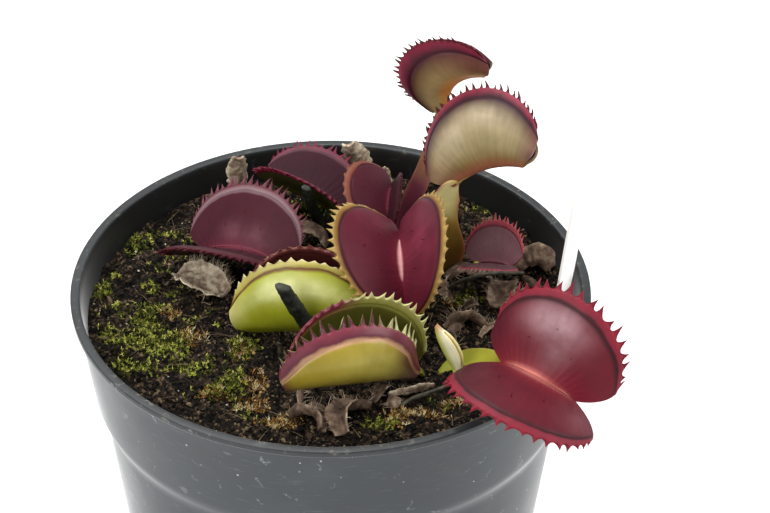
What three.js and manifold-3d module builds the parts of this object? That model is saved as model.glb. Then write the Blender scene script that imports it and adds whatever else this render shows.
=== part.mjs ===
// A potted venus flytrap, in millimetres, with +Z up.
// The origin is the centre of the pot's flat underside.
// Each leaf is one body: a flat winged stalk that ends in a trap of two hinged lobes.
import * as THREE from "three";
import { mergeVertices } from "three/addons/utils/BufferGeometryUtils.js";
import Module from "manifold-3d";

const wasm = await Module();
wasm.setup();

// Driving dimensions of the pot, a 9 cm round nursery pot
const POT_HEIGHT = 72;
const RIM_RADIUS = 45;
const LIP_DEPTH = 1.2;
const COLLAR_TOP_RADIUS = 44.1;
const COLLAR_BOTTOM_RADIUS = 41.6;
const COLLAR_BOTTOM_Z = 53;
const STEP_BOTTOM_Z = 50;
const STEP_WIDTH = 1.5;
const BASE_RADIUS = 33.5;
const POT_WALL = 1;
const FLOOR_THICKNESS = 1.2;
const DRAIN_HOLES = 6;
const DRAIN_RADIUS = 3.5;
const DRAIN_CIRCLE = 23;
const ROUND_SEGMENTS = 64;

// Clearance left between two pieces that touch
const GAP = 0.35;

// The soil: its mean top, its low dome and the size of its lumps
const SOIL_TOP = 66.4;
const SOIL_RADIUS = COLLAR_TOP_RADIUS - POT_WALL - GAP - 0.8;
const SOIL_DOME = 1.1;
const SOIL_LUMP = 0.5;
const SOIL_RING_STEP = 6;

// Thicknesses of plant tissue
const LOBE_THICKNESS = 0.8;
const MIDRIB_THICKNESS = 1.3;
const DRY_LEAF_THICKNESS = 0.8;

// Where the outward lip begins between midrib and margin, and the rows of points across a lobe
const LIP_START = 0.86;
const LOBE_ROWS = [1, LIP_START, 0.6, 0.3];

const DEGREE = Math.PI / 180;
const vector = (point) => new THREE.Vector3(...point);
const lerp = THREE.MathUtils.lerp;

// Geometry helpers

// Turns a closed mesh so that its faces point outwards, and merges its shared corners.
function closed(positions, triangles) {
  let volume = 0;
  for (let i = 0; i < triangles.length; i += 3) {
    const [a, b, c] = [0, 1, 2].map((k) => new THREE.Vector3().fromArray(positions, 3 * triangles[i + k]));
    volume += a.dot(b.cross(c));
  }
  if (volume < 0) {
    triangles.reverse();
  }
  const geometry = new THREE.BufferGeometry();
  geometry.setAttribute("position", new THREE.Float32BufferAttribute(positions, 3));
  geometry.setIndex(triangles);
  return mergeVertices(geometry, 1e-4);
}

function toSolid(geometry) {
  const bare = geometry.clone();
  bare.deleteAttribute("normal");
  bare.deleteAttribute("uv");
  const merged = mergeVertices(bare, 1e-4);
  const mesh = new wasm.Mesh({
    numProp: 3,
    vertProperties: new Float32Array(merged.attributes.position.array),
    triVerts: new Uint32Array(merged.index.array),
  });
  return new wasm.Manifold(mesh);
}

function toGeometry(solid) {
  const mesh = solid.getMesh();
  const geometry = new THREE.BufferGeometry();
  geometry.setAttribute("position", new THREE.BufferAttribute(new Float32Array(mesh.vertProperties), 3));
  geometry.setIndex(new THREE.BufferAttribute(new Uint32Array(mesh.triVerts), 1));
  return geometry;
}

// A solid through a row of closed rings with equal numbers of points, capped at both ends.
function loft(rings) {
  const count = rings[0].length;
  const points = rings.flat();
  const triangles = [];
  for (let i = 0; i + 1 < rings.length; i += 1) {
    for (let j = 0; j < count; j += 1) {
      const a = i * count + j;
      const b = i * count + ((j + 1) % count);
      triangles.push(a, b, b + count, a, b + count, a + count);
    }
  }
  const lastRing = (rings.length - 1) * count;
  for (const [start, turned] of [[0, true], [lastRing, false]]) {
    const centre = new THREE.Vector3();
    for (let j = 0; j < count; j += 1) {
      centre.addScaledVector(points[start + j], 1 / count);
    }
    const hub = points.push(centre) - 1;
    for (let j = 0; j < count; j += 1) {
      const edge = [start + j, start + ((j + 1) % count)];
      triangles.push(hub, ...(turned ? edge.reverse() : edge));
    }
  }
  return closed(points.flatMap((point) => point.toArray()), triangles);
}

// A thin closed sheet between two grids of points, upper[i][j] and lower[i][j].
// toothTip(i, edge), where it is given, draws the side edges out into teeth.
function sheet(upper, lower, toothTip) {
  const rows = upper.length;
  const columns = upper[0].length;
  const points = [...upper.flat(), ...lower.flat()];
  const top = (i, j) => i * columns + j;
  const under = (i, j) => rows * columns + i * columns + j;
  const triangles = [];
  const quad = (a, b, c, d) => triangles.push(a, b, c, a, c, d);
  for (let i = 0; i + 1 < rows; i += 1) {
    for (let j = 0; j + 1 < columns; j += 1) {
      quad(top(i, j), top(i + 1, j), top(i + 1, j + 1), top(i, j + 1));
      triangles.push(under(i, j), under(i + 1, j + 1), under(i + 1, j));
      triangles.push(under(i, j), under(i, j + 1), under(i + 1, j + 1));
    }
  }
  const last = columns - 1;
  for (let j = 0; j < last; j += 1) {
    quad(top(0, j), top(0, j + 1), under(0, j + 1), under(0, j));
    quad(top(rows - 1, j + 1), top(rows - 1, j), under(rows - 1, j), under(rows - 1, j + 1));
  }
  for (let i = 0; i + 1 < rows; i += 1) {
    for (const [edge, forward] of [[0, false], [last, true]]) {
      const [near, far] = forward ? [i, i + 1] : [i + 1, i];
      const corners = [top(near, edge), top(far, edge), under(far, edge), under(near, edge)];
      if (!toothTip) {
        quad(...corners);
        continue;
      }
      const apex = points.push(toothTip(i, edge)) - 1;
      corners.forEach((corner, k) => triangles.push(corner, corners[(k + 1) % 4], apex));
    }
  }
  return closed(points.flatMap((point) => point.toArray()), triangles);
}

// A strap swept along a smooth path. Each stop gives [x, y, z, half width, half thickness].
// grow makes it larger all round, and deeper at its foot, to cut the hole that it stands in.
function strap(stops, widthAxis, steps, grow = 0) {
  const centres = stops.map((stop) => vector(stop.slice(0, 3)));
  centres[0].z -= grow;
  const path = new THREE.CatmullRomCurve3(centres, false, "centripetal");
  const rings = [];
  for (let i = 0; i <= steps; i += 1) {
    const t = i / steps;
    const centre = path.getPoint(t);
    const along = path.getTangent(t);
    const across = widthAxis.clone().addScaledVector(along, -widthAxis.dot(along)).normalize();
    const through = new THREE.Vector3().crossVectors(across, along);
    const place = t * (stops.length - 1);
    const before = Math.min(Math.floor(place), stops.length - 2);
    const [from, to] = [stops[before], stops[before + 1]];
    const halfWidth = lerp(from[3], to[3], place - before) + grow;
    const halfThickness = lerp(from[4], to[4], place - before) + grow;
    const ring = [];
    for (let k = 0; k < 6; k += 1) {
      const angle = k * Math.PI / 3;
      ring.push(centre.clone()
        .addScaledVector(across, halfWidth * Math.cos(angle))
        .addScaledVector(through, 1.15 * halfThickness * Math.sin(angle)));
    }
    rings.push(ring);
  }
  return loft(rings);
}

// The pot: a thin turned wall with a lip, a collar and a small step under it
function potGeometry() {
  const stepRadius = COLLAR_BOTTOM_RADIUS - STEP_WIDTH;
  const lipZ = POT_HEIGHT - LIP_DEPTH;
  const profile = [
    [0, 0],
    [BASE_RADIUS - 0.6, 0],
    [BASE_RADIUS, 0.6],
    [stepRadius, STEP_BOTTOM_Z],
    [COLLAR_BOTTOM_RADIUS, COLLAR_BOTTOM_Z],
    [COLLAR_TOP_RADIUS, lipZ],
    [RIM_RADIUS - 0.2, lipZ],
    [RIM_RADIUS, lipZ + 0.3],
    [RIM_RADIUS, POT_HEIGHT - 0.3],
    [RIM_RADIUS - 0.3, POT_HEIGHT],
    [COLLAR_TOP_RADIUS - POT_WALL + 0.3, POT_HEIGHT],
    [COLLAR_TOP_RADIUS - POT_WALL, lipZ],
    [COLLAR_BOTTOM_RADIUS - POT_WALL, COLLAR_BOTTOM_Z],
    [stepRadius - POT_WALL, STEP_BOTTOM_Z],
    [BASE_RADIUS - POT_WALL, FLOOR_THICKNESS],
    [0, FLOOR_THICKNESS],
  ].map(([radius, z]) => new THREE.Vector2(radius, z));
  const turned = new THREE.LatheGeometry(profile, ROUND_SEGMENTS);
  turned.rotateX(Math.PI / 2);
  let pot = toSolid(turned);
  const hole = new THREE.CylinderGeometry(DRAIN_RADIUS, DRAIN_RADIUS, 6 * FLOOR_THICKNESS, 16);
  hole.rotateX(Math.PI / 2);
  for (let i = 0; i < DRAIN_HOLES; i += 1) {
    const angle = i * 2 * Math.PI / DRAIN_HOLES;
    const placed = hole.clone().translate(DRAIN_CIRCLE * Math.cos(angle), DRAIN_CIRCLE * Math.sin(angle), 0);
    pot = pot.subtract(toSolid(placed));
  }
  return toGeometry(pot);
}

// Height of the soil's lumpy top at a place, as a low dome with a sum of waves on it
function soilHeight(x, y) {
  const dome = SOIL_DOME * (1 - (x * x + y * y) / (SOIL_RADIUS * SOIL_RADIUS));
  const lumps = Math.sin(0.42 * x + 1.3) * Math.cos(0.37 * y - 0.4)
    + 0.6 * Math.sin(0.71 * x - 0.53 * y + 2.1)
    + 0.4 * Math.sin(1.13 * y + 0.31 * x);
  return SOIL_TOP + dome + SOIL_LUMP * lumps;
}

// The block of soil, whose sides follow the inside of the pot
function soilBlock() {
  const inside = (radius) => radius - POT_WALL - GAP;
  const wall = [
    [SOIL_RADIUS, null],
    [inside(COLLAR_BOTTOM_RADIUS), COLLAR_BOTTOM_Z + 0.2],
    [inside(COLLAR_BOTTOM_RADIUS - STEP_WIDTH) - 0.05, STEP_BOTTOM_Z],
    [inside(BASE_RADIUS), FLOOR_THICKNESS + GAP],
  ];
  const ring = (radius, z) => Array.from({ length: ROUND_SEGMENTS }, (_, k) => {
    const angle = k * 2 * Math.PI / ROUND_SEGMENTS;
    const x = radius * Math.sin(angle);
    const y = radius * Math.cos(angle);
    return new THREE.Vector3(x, y, z ?? soilHeight(x, y));
  });
  const rings = [];
  for (let radius = SOIL_RING_STEP; radius < SOIL_RADIUS; radius += SOIL_RING_STEP) {
    rings.push(ring(radius, null));
  }
  return loft([...rings, ...wall.map(([radius, z]) => ring(radius, z))]);
}

// The traps
// A trap runs from its base to its tip. face is the way it opens. wide is a lobe's reach from
// the midrib to its margin, long its length and low the share of wide that its two ends keep.
// arch bends the midrib. Each lobe has open, the angles of its root and its margin from face,
// and slide, its shift towards the tip. scale shortens a lobe along the midrib and reach
// shortens it across. The stops of its stalk start in the soil.
const leaves = {
  leaf_right: {
    color: 0x7c1530, base: [28.5, -29, 77.5], tip: [39.3, -36.7, 76], face: [-0.2, -0.47, 0.86],
    wide: 14.9, long: 23, low: 0.32, arch: 66, lip: 14, tooth: 1.7, teeth: 20,
    right: { open: [44, 55], slide: 0.5 }, left: { open: [63, 63], slide: 0 },
    stops: [[18.4, -17.4, 60, 0.8, 0.6], [18.5, -17.5, 66.6, 0.95, 0.6], [20, -17.3, 68, 1.3, 0.5],
      [22.2, -17.1, 69.2, 1.7, 0.5], [24.3, -18.8, 70.8, 1.8, 0.5], [26.6, -22.1, 73.2, 1.6, 0.5],
      [28, -25.8, 75.6, 0.8, 0.6]],
  },
  leaf_heart: {
    color: 0x8a1a3c, base: [12.5, -7.1, 75.3], tip: [11.9, 3, 79.6], face: [-0.06, -0.4, 0.92],
    wide: 14.2, long: 19.2, low: 0.1, arch: 60, lip: 10, tooth: 1.1, teeth: 18,
    right: { open: [29, 35], slide: 0.3 }, left: { open: [45, 56], slide: 1.4 },
    stops: [[13.4, -9.4, 60, 0.8, 0.6], [13.3, -9.4, 67, 1, 0.6], [13, -9, 71, 1.4, 0.5],
      [12.7, -8, 74, 0.75, 0.6]],
  },
  leaf_back_left: {
    color: 0x7d3048, base: [-10.6, 8.2, 71.6], tip: [-21.6, 14.1, 69.3], face: [-0.19, 0.08, 0.98],
    wide: 13, long: 21, low: 0.33, arch: 36, lip: 14, tooth: 1.5, teeth: 20,
    right: { open: [44, 44], slide: 0.2, reach: 0.95 }, left: { open: [54, 54], slide: 0.3 },
    stops: [[-3.2, 2.6, 60, 0.9, 0.6], [-3.4, 2.8, 66.5, 1.1, 0.6], [-5.2, 4, 70.4, 1.7, 0.5],
      [-7.8, 5.8, 71.6, 1.3, 0.5], [-9.8, 7, 71.9, 0.75, 0.6]],
  },
  leaf_back: {
    color: 0x7a2238, base: [0.4, 24.3, 71.1], tip: [-8.9, 29.1, 73.1], face: [0.28, 0.15, 0.95],
    wide: 9.6, long: 17.3, low: 0.32, arch: 26, lip: 14, tooth: 1.3, teeth: 16,
    right: { open: [47, 47], slide: 0.4 }, left: { open: [50, 50], slide: 0.4 },
    stops: [[5.6, 16.4, 60, 0.8, 0.6], [5.4, 16.6, 66.6, 1, 0.6], [4.2, 18.4, 69.8, 1.7, 0.5],
      [2.4, 21.4, 70.6, 1.5, 0.5], [1, 23.7, 71, 0.75, 0.6]],
  },
  leaf_back_small: {
    color: 0x7a1c34, base: [10.1, 14, 76.6], tip: [10.8, 19.6, 78.6], face: [-0.18, -0.31, 0.93],
    wide: 9.4, long: 12.4, low: 0.27, arch: 49, lip: 10, tooth: 0.9, teeth: 12,
    right: { open: [34, 36], slide: 0, scale: 0.9, reach: 0.46 }, left: { open: [42, 52], slide: 0.6 },
    stops: [[9.4, 11.6, 60, 0.8, 0.6], [9.4, 11.6, 67, 1, 0.6], [9.7, 12.2, 71.4, 1.4, 0.5],
      [10, 13.4, 75.4, 0.7, 0.6]],
  },
  leaf_top: {
    color: 0x98324a, base: [20, 26.7, 92.5], tip: [26.6, 22.9, 100.9], face: [-0.72, 0.23, 0.66],
    wide: 11.6, long: 13.8, low: 0.26, arch: 80, lip: 8, tooth: 1.2, teeth: 16,
    right: { open: [60, -40], slide: -0.2 }, left: { open: [56, -75], slide: 0, scale: 0.92 },
    stalkAcross: [1, -0.2, 0],
    stops: [[11.8, 20, 60, 0.9, 0.6], [12, 20.2, 67, 1.1, 0.6], [14.4, 21.6, 74.8, 1.7, 0.5],
      [16.9, 24.4, 79.8, 1.6, 0.5], [18.7, 26.6, 86.2, 1.2, 0.5], [19.7, 26.9, 91.3, 0.75, 0.6]],
  },
  leaf_tall: {
    color: 0x9a3048, base: [21, 11, 86], tip: [32.9, 6.5, 93.3], face: [-0.14, 0.74, 0.66],
    wide: 15.2, long: 19.8, low: 0.32, arch: 45, lip: 8, tooth: 1.3, teeth: 20,
    right: { open: [52, -46], slide: -0.2, scale: 0.96 }, left: { open: [56, -62], slide: -1.5, scale: 0.9 },
    stalkAcross: [1, 0.15, 0],
    stops: [[20.6, 10.2, 60, 1.1, 0.6], [20.6, 10.3, 66.5, 1.5, 0.6], [21.2, 10.6, 72, 2.3, 0.5],
      [20.8, 10.9, 78, 1.4, 0.6], [19.9, 11, 82.4, 2.5, 0.6], [20.8, 11, 85.4, 1.6, 0.8]],
  },
  leaf_green: {
    color: 0xa9b83a, base: [1.8, -9, 69.9], tip: [-14, -6.6, 67.9], face: [-0.1, 0.25, 0.96],
    wide: 16.4, long: 23, low: 0.36, arch: 6, lip: 8, tooth: 0.8, teeth: 18,
    right: { open: [58, -46], slide: -2.5, scale: 0.9 }, left: { open: [66, -44], slide: -2 },
    stops: [[7.6, -9.2, 60, 0.9, 0.6], [7.4, -9.2, 66.4, 1.1, 0.6], [5.6, -9.2, 69.4, 1.3, 0.55],
      [2.8, -9.1, 69.9, 0.75, 0.6]],
  },
  leaf_front: {
    color: 0x9c9a3c, base: [11.2, -21.7, 69.6], tip: [-4.7, -27.4, 72.3], face: [0.06, 0.02, 1],
    wide: 17, long: 22.6, low: 0.28, arch: 22, lip: 8, tooth: 1.6, teeth: 18,
    right: { open: [46, -42], slide: -0.6 }, left: { open: [82, -70], slide: 1.2, reach: 0.9 },
    stops: [[15.6, -17.2, 60, 0.9, 0.6], [15.4, -17.6, 66.2, 1.1, 0.6], [14.2, -19.4, 69, 1.3, 0.55],
      [12, -21.2, 69.6, 0.75, 0.6]],
  },
  leaf_right_small: {
    color: 0x6e2a36, base: [26, 8, 70.6], tip: [31.2, 4.6, 72.6], face: [-0.36, 0.03, 0.93],
    wide: 8, long: 11.6, low: 0.32, arch: 13, lip: 12, tooth: 0.9, teeth: 14,
    right: { open: [60, 60], slide: 0, reach: 0.62 }, left: { open: [45, 45], slide: -0.6 },
    stops: [[25.2, 9.6, 60, 0.7, 0.6], [25.2, 9.6, 66.4, 0.8, 0.6], [25.3, 9.2, 69, 0.9, 0.5],
      [25.6, 8.4, 70.4, 0.7, 0.6]],
  },
  leaf_bud: {
    color: 0xd9dfa0, base: [21.6, -20.1, 69], tip: [17.8, -19.1, 77.6], face: [0.75, -0.5, 0.3],
    wide: 2.6, long: 8, low: 0.3, arch: -14, lip: 0, tooth: 0.5, teeth: 8,
    right: { open: [46, -30], slide: 0 }, left: { open: [46, -30], slide: 0 },
    stops: [[20.6, -20.8, 60, 0.6, 0.6], [20.6, -20.8, 66, 0.7, 0.6], [21.2, -20.5, 68.2, 0.6, 0.6]],
  },
};

// The frame that a trap stands in: length, mid point and three axes
function trapFrame(leaf) {
  const base = vector(leaf.base);
  const tip = vector(leaf.tip);
  const along = tip.clone().sub(base);
  const length = along.length();
  along.normalize();
  const face = vector(leaf.face);
  face.addScaledVector(along, -face.dot(along)).normalize();
  const across = new THREE.Vector3().crossVectors(along, face);
  return { length, middle: base.lerp(tip, 0.5), along, face, across };
}

// A point of a lobe: u runs along the midrib from base to tip, v from the midrib to the margin.
// The margin is part of an ellipse. A lobe curls about the midrib with an angle that grows
// evenly from its root to its margin, and past LIP_START a narrow lip turns outwards.
function lobePoint(leaf, frame, side, u, v) {
  const lobe = side > 0 ? leaf.right : leaf.left;
  const scale = lobe.scale ?? 1;
  const bend = leaf.arch * DEGREE;
  const turn = bend * (u - 0.5);
  const bendRadius = frame.length / (2 * Math.sin(bend / 2));
  const along = frame.along.clone().multiplyScalar(Math.cos(turn))
    .addScaledVector(frame.face, -Math.sin(turn));
  const face = frame.along.clone().multiplyScalar(Math.sin(turn))
    .addScaledVector(frame.face, Math.cos(turn));
  const point = frame.middle.clone()
    .addScaledVector(frame.along, bendRadius * Math.sin(turn))
    .addScaledVector(frame.face, bendRadius * (Math.cos(turn) - Math.cos(bend / 2)));
  const low = leaf.low * leaf.wide;
  const sweep = lerp(176, 4, u) * DEGREE;
  const marginAlong = lobe.slide + scale * leaf.long / 2 * Math.cos(sweep);
  const marginReach = (lobe.reach ?? 1) * (low + (leaf.wide - low) * Math.sin(sweep));
  const hollow = 0.1 * frame.length * Math.pow(2 * u - 1, 5) * 4 * v * (1 - v);
  const shiftAlong = v * (marginAlong - frame.length * (u - 0.5)) + hollow;
  const root = lobe.open[0] * DEGREE;
  const curl = (lobe.open[1] - lobe.open[0]) * DEGREE || 1e-4;
  const curled = Math.min(v, LIP_START);
  let rise = marginReach * (Math.sin(root + curl * curled) - Math.sin(root)) / curl;
  let reach = marginReach * (Math.cos(root) - Math.cos(root + curl * curled)) / curl;
  const lipAngle = root + curl * LIP_START + leaf.lip * DEGREE;
  rise += marginReach * (v - curled) * Math.cos(lipAngle);
  reach += marginReach * (v - curled) * Math.sin(lipAngle);
  return point.addScaledVector(along, shiftAlong).addScaledVector(face, rise)
    .addScaledVector(frame.across, side * reach);
}

// The normal of a lobe on its inner side, from two short steps over the surface
function lobeNormal(leaf, frame, side, u, v) {
  const step = 0.01;
  const at = (u1, v1) => lobePoint(leaf, frame, side, u1, v1);
  const alongStep = at(Math.min(u + step, 1), v).sub(at(Math.max(u - step, 0), v));
  const outStep = at(u, Math.min(v + step, 1)).sub(at(u, Math.max(v - step, 0)));
  return outStep.cross(alongStep).multiplyScalar(side).normalize();
}

function trapGeometry(leaf) {
  const frame = trapFrame(leaf);
  const upper = [];
  const lower = [];
  for (let i = 0; i <= leaf.teeth; i += 1) {
    const u = i / leaf.teeth;
    const place = (side, v) => {
      const centre = lobePoint(leaf, frame, side, u, v);
      if (v === 0) {
        const face = lobeNormal(leaf, frame, 1, u, 0.02).add(lobeNormal(leaf, frame, -1, u, 0.02));
        return { centre, offset: face.normalize().multiplyScalar(MIDRIB_THICKNESS / 2) };
      }
      return { centre, offset: lobeNormal(leaf, frame, side, u, v).multiplyScalar(LOBE_THICKNESS / 2) };
    };
    const section = [
      ...LOBE_ROWS.map((v) => place(-1, v)),
      place(1, 0),
      ...[...LOBE_ROWS].reverse().map((v) => place(1, v)),
    ];
    upper.push(section.map(({ centre, offset }) => centre.clone().add(offset)));
    lower.push(section.map(({ centre, offset }) => centre.clone().sub(offset)));
  }
  const toothTip = (i, edge) => {
    const side = edge === 0 ? -1 : 1;
    const u = (i + 0.5) / leaf.teeth;
    const margin = lobePoint(leaf, frame, side, u, 1);
    const outward = margin.clone().sub(lobePoint(leaf, frame, side, u, 0.9)).normalize();
    const uneven = 1 + 0.22 * Math.sin(2.4 * i + side);
    return margin.addScaledVector(outward, leaf.tooth * uneven);
  };
  return sheet(upper, lower, toothTip);
}

// A leaf's stalk, which runs on under the trap as the outer ridge of its midrib
function stalkGeometry(leaf, grow = 0) {
  const frame = trapFrame(leaf);
  const keel = (u, half) => {
    const centre = lobePoint(leaf, frame, 1, u, 0).addScaledVector(frame.face, -0.3);
    return [...centre.toArray(), half, half];
  };
  const stops = [...leaf.stops, keel(0.12, 0.65), keel(0.4, 0.45)];
  const widthAxis = leaf.stalkAcross ? vector(leaf.stalkAcross) : frame.across;
  return strap(stops, widthAxis, 2 * (stops.length - 1), grow);
}

function leafGeometry(leaf) {
  return toGeometry(toSolid(trapGeometry(leaf)).add(toSolid(stalkGeometry(leaf))));
}

// Dry dead leaves
// Each is a curled strip along a hand-set path over the soil. A stop gives
// [x, y, height over the soil, half width], and cup bends the strip's edges up.
const dryLeaves = {
  dry_leaf_round: {
    color: 0x5a4034, cup: 0.9, across: [0.2, -0.5, 0.8],
    stops: [[32.6, 9.2, 1.2, 1.4], [34.2, 10.6, 3, 3], [37, 10.8, 3.6, 3], [38.6, 9.2, 1.9, 1.6]],
  },
  dry_leaf_flat: {
    color: 0x7b7066, cup: 0.3, across: [1, -0.1, 0.1],
    stops: [[29.2, -1.4, 1.2, 1.8], [29.6, 1.2, 1.9, 2.5], [30.2, 3.8, 2.1, 2.5], [30.8, 6.2, 1.4, 1.6]],
  },
  dry_leaf_left: {
    color: 0x6c5248, cup: 0.4, across: [-0.5, -0.7, -0.1],
    stops: [[-26.8, 9.4, 1.5, 1.8], [-24.2, 7, 2.3, 3.4], [-21, 4.4, 2.5, 3.4], [-18.4, 2.2, 1.5, 1.6]],
  },
  dry_leaf_dome: {
    color: 0x57503c, cup: -0.8, across: [0, -0.8, 0.6],
    stops: [[-8.6, 17.6, 1.5, 1.4], [-6.9, 17.3, 4.4, 2.4], [-4.5, 17.1, 5.1, 2.5], [-2.2, 16.9, 4.2, 2.2],
      [-1, 16.7, 1.6, 1.3]],
  },
  dry_leaf_upright: {
    color: 0x93786a, cup: 0.4, across: [1, 0.1, 0],
    stops: [[-17, 35, 0.5, 1.4], [-17, 35, 3, 1.9], [-16.9, 34.6, 6.4, 1.9], [-16.6, 33.8, 9, 1.1]],
  },
  dry_leaf_back_tall: {
    color: 0x8c7870, cup: 0.5, across: [1, 0, 0.2],
    stops: [[6, 38, 0.9, 1.6], [5.4, 38, 4, 2.4], [4.4, 37, 8, 2.4], [3.2, 35.6, 11, 1.3]],
  },
  dry_leaf_back_low: {
    color: 0x6f5c52, cup: 0.4, across: [1, -0.2, 0],
    stops: [[9.6, 34.6, 0.6, 1.2], [9.6, 34.8, 3, 1.7], [9.4, 34.4, 5.6, 1.6], [9, 33.4, 7.4, 1]],
  },
  dry_leaf_front_left: {
    color: 0x5d4a44, cup: 0.7, across: [-0.3, -0.6, 0.7],
    stops: [[-7, -30.6, 1.3, 1.2], [-4.6, -30.2, 2.1, 1.8], [-2, -31.8, 2, 1.8], [-1.6, -34.6, 1.2, 1]],
  },
  dry_leaf_front_curl: {
    color: 0x66504a, cup: 0.8, across: [0.9, -0.4, 0.3],
    stops: [[6.2, -28.6, 1.2, 1.2], [3.4, -29.4, 2.4, 2], [1.2, -32, 2.4, 2.2], [2, -35.4, 1.3, 1.4]],
  },
  dry_leaf_front_pale: {
    color: 0x776257, cup: 0.5, across: [0.3, -0.6, 0.7],
    stops: [[9.6, -25.4, 1.3, 0.9], [12.4, -24.8, 1.8, 1.5], [15.2, -23.4, 1.8, 1.4], [17, -22.6, 1.3, 0.8]],
  },
};

function dryLeafGeometry(dry) {
  const stops = dry.stops.map(([x, y, height]) => new THREE.Vector3(x, y, soilHeight(x, y) + height));
  const path = new THREE.CatmullRomCurve3(stops, false, "centripetal");
  const widthAxis = vector(dry.across);
  const facing = new THREE.Vector3().crossVectors(path.getTangent(0.5), widthAxis).z < 0 ? -1 : 1;
  const steps = 7;
  const upper = [];
  const lower = [];
  for (let i = 0; i <= steps; i += 1) {
    const t = i / steps;
    const place = t * (stops.length - 1);
    const before = Math.min(Math.floor(place), stops.length - 2);
    const halfWidth = lerp(dry.stops[before][3], dry.stops[before + 1][3], place - before);
    const along = path.getTangent(t);
    const across = widthAxis.clone().addScaledVector(along, -widthAxis.dot(along)).normalize();
    const out = new THREE.Vector3().crossVectors(along, across).multiplyScalar(facing);
    const row = [-1, -0.5, 0, 0.5, 1].map((share) => {
      const crinkle = 0.12 * Math.sin(5 * t + 7 * share);
      return path.getPoint(t)
        .addScaledVector(across, halfWidth * share)
        .addScaledVector(out, halfWidth * (dry.cup * (share * share - 0.5) + crinkle));
    });
    upper.push(row.map((point) => point.clone().addScaledVector(out, DRY_LEAF_THICKNESS / 2)));
    lower.push(row.map((point) => point.clone().addScaledVector(out, -DRY_LEAF_THICKNESS / 2)));
  }
  return sheet(upper, lower);
}

// Old stumps and dry stalks: tapered round rods that stand or lie in the soil
// Each stop gives [x, y, z, radius].
const stumps = {
  stump_front: {
    color: 0x1c2320,
    stops: [[-2.8, -12.4, 61, 1.2], [-2.9, -12.6, 67, 1.3], [-3.6, -13.6, 72.6, 1.35],
      [-5.8, -14.9, 78.4, 1.3], [-7.9, -15.5, 83, 1.15]],
  },
  stump_back: {
    color: 0x20281f,
    stops: [[-1.2, 21, 61, 0.9], [-1.3, 21, 67, 1], [-2.2, 20.4, 71.6, 1.05], [-3.5, 19.2, 75.6, 0.95],
      [-4.3, 18.1, 79.8, 0.75]],
  },
  dry_stalk_thin: {
    color: 0x4c4032,
    stops: [[-8.6, -14.6, 62, 0.4], [-8.6, -14.6, 67, 0.4], [-8.8, -14.4, 70.6, 0.35]],
  },
  dry_stalk_right: {
    color: 0x2e2823,
    stops: [[19.6, 4.6, 63, 0.45], [20.3, 4.2, 67.6, 0.45], [21.2, 2.4, 70.2, 0.42], [23.6, -0.1, 73.5, 0.38],
      [26.6, -0.8, 75, 0.36], [30.4, -0.9, 75.4, 0.32], [33, -0.7, 75.2, 0.28]],
  },
  dry_stalk_front: {
    color: 0x33291f,
    stops: [[10.4, -27.8, 65, 0.36], [12.4, -27.2, 68, 0.4], [17.2, -25.6, 69.2, 0.38],
      [21.4, -23.6, 69.6, 0.3]],
  },
};

function stumpGeometry(stump, grow = 0) {
  const stops = stump.stops.map(([x, y, z, radius]) => [x, y, z, radius, radius]);
  return strap(stops, new THREE.Vector3(0.9, -0.3, 0.1), 2 * (stops.length - 1), grow);
}

// The blank plant label: a thin plastic stake with a point in the soil and a rounded top
const LABEL_WIDTH = 12;
const LABEL_THICKNESS = 0.8;
const LABEL_TOP = 41;
const LABEL_DEPTH = 10;
const LABEL_TAPER_END = 9;
const LABEL_FOOT = [38.9, -5.5, 67];
const LABEL_LEAN = 6.2 * DEGREE;
const LABEL_TURN = 71 * DEGREE;

function labelGeometry(grow = 0) {
  const half = LABEL_WIDTH / 2;
  const corner = 1.5;
  const outline = new THREE.Shape();
  outline.moveTo(-0.6 - grow, -LABEL_DEPTH - grow);
  outline.lineTo(0.6 + grow, -LABEL_DEPTH - grow);
  outline.lineTo(half + grow, LABEL_TAPER_END);
  outline.lineTo(half + grow, LABEL_TOP - corner);
  outline.quadraticCurveTo(half, LABEL_TOP, half - corner, LABEL_TOP);
  outline.lineTo(corner - half, LABEL_TOP);
  outline.quadraticCurveTo(-half, LABEL_TOP, -half - grow, LABEL_TOP - corner);
  outline.lineTo(-half - grow, LABEL_TAPER_END);
  outline.closePath();
  const depth = LABEL_THICKNESS + 2 * grow;
  const label = new THREE.ExtrudeGeometry(outline, { depth, bevelEnabled: false, curveSegments: 4 });
  label.translate(0, 0, -depth / 2);
  label.rotateX(Math.PI / 2);
  label.rotateZ(LABEL_TURN);
  label.rotateY(LABEL_LEAN);
  return label.translate(...LABEL_FOOT);
}

// Soil with a plain hole for each stalk, stump and the label
function soilGeometry() {
  let soil = toSolid(soilBlock());
  for (const leaf of Object.values(leaves)) {
    soil = soil.subtract(toSolid(stalkGeometry(leaf, GAP)));
  }
  for (const stump of Object.values(stumps)) {
    soil = soil.subtract(toSolid(stumpGeometry(stump, GAP)));
  }
  return toGeometry(soil.subtract(toSolid(labelGeometry(GAP))));
}

// The part
const part = new THREE.Group();

function addPiece(name, geometry, color, roughness) {
  const mesh = new THREE.Mesh(geometry, new THREE.MeshStandardMaterial({ color, roughness, metalness: 0 }));
  mesh.name = name;
  mesh.geometry.computeVertexNormals();
  part.add(mesh);
}

addPiece("pot", potGeometry(), 0x2b3238, 0.45);
addPiece("soil", soilGeometry(), 0x241c17, 0.95);
addPiece("plant_label", labelGeometry(), 0xf2f3ee, 0.4);
for (const [name, leaf] of Object.entries(leaves)) {
  addPiece(name, leafGeometry(leaf), leaf.color, 0.45);
}
for (const [name, dry] of Object.entries(dryLeaves)) {
  addPiece(name, dryLeafGeometry(dry), dry.color, 0.9);
}
for (const [name, stump] of Object.entries(stumps)) {
  addPiece(name, stumpGeometry(stump), stump.color, 0.7);
}

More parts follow.
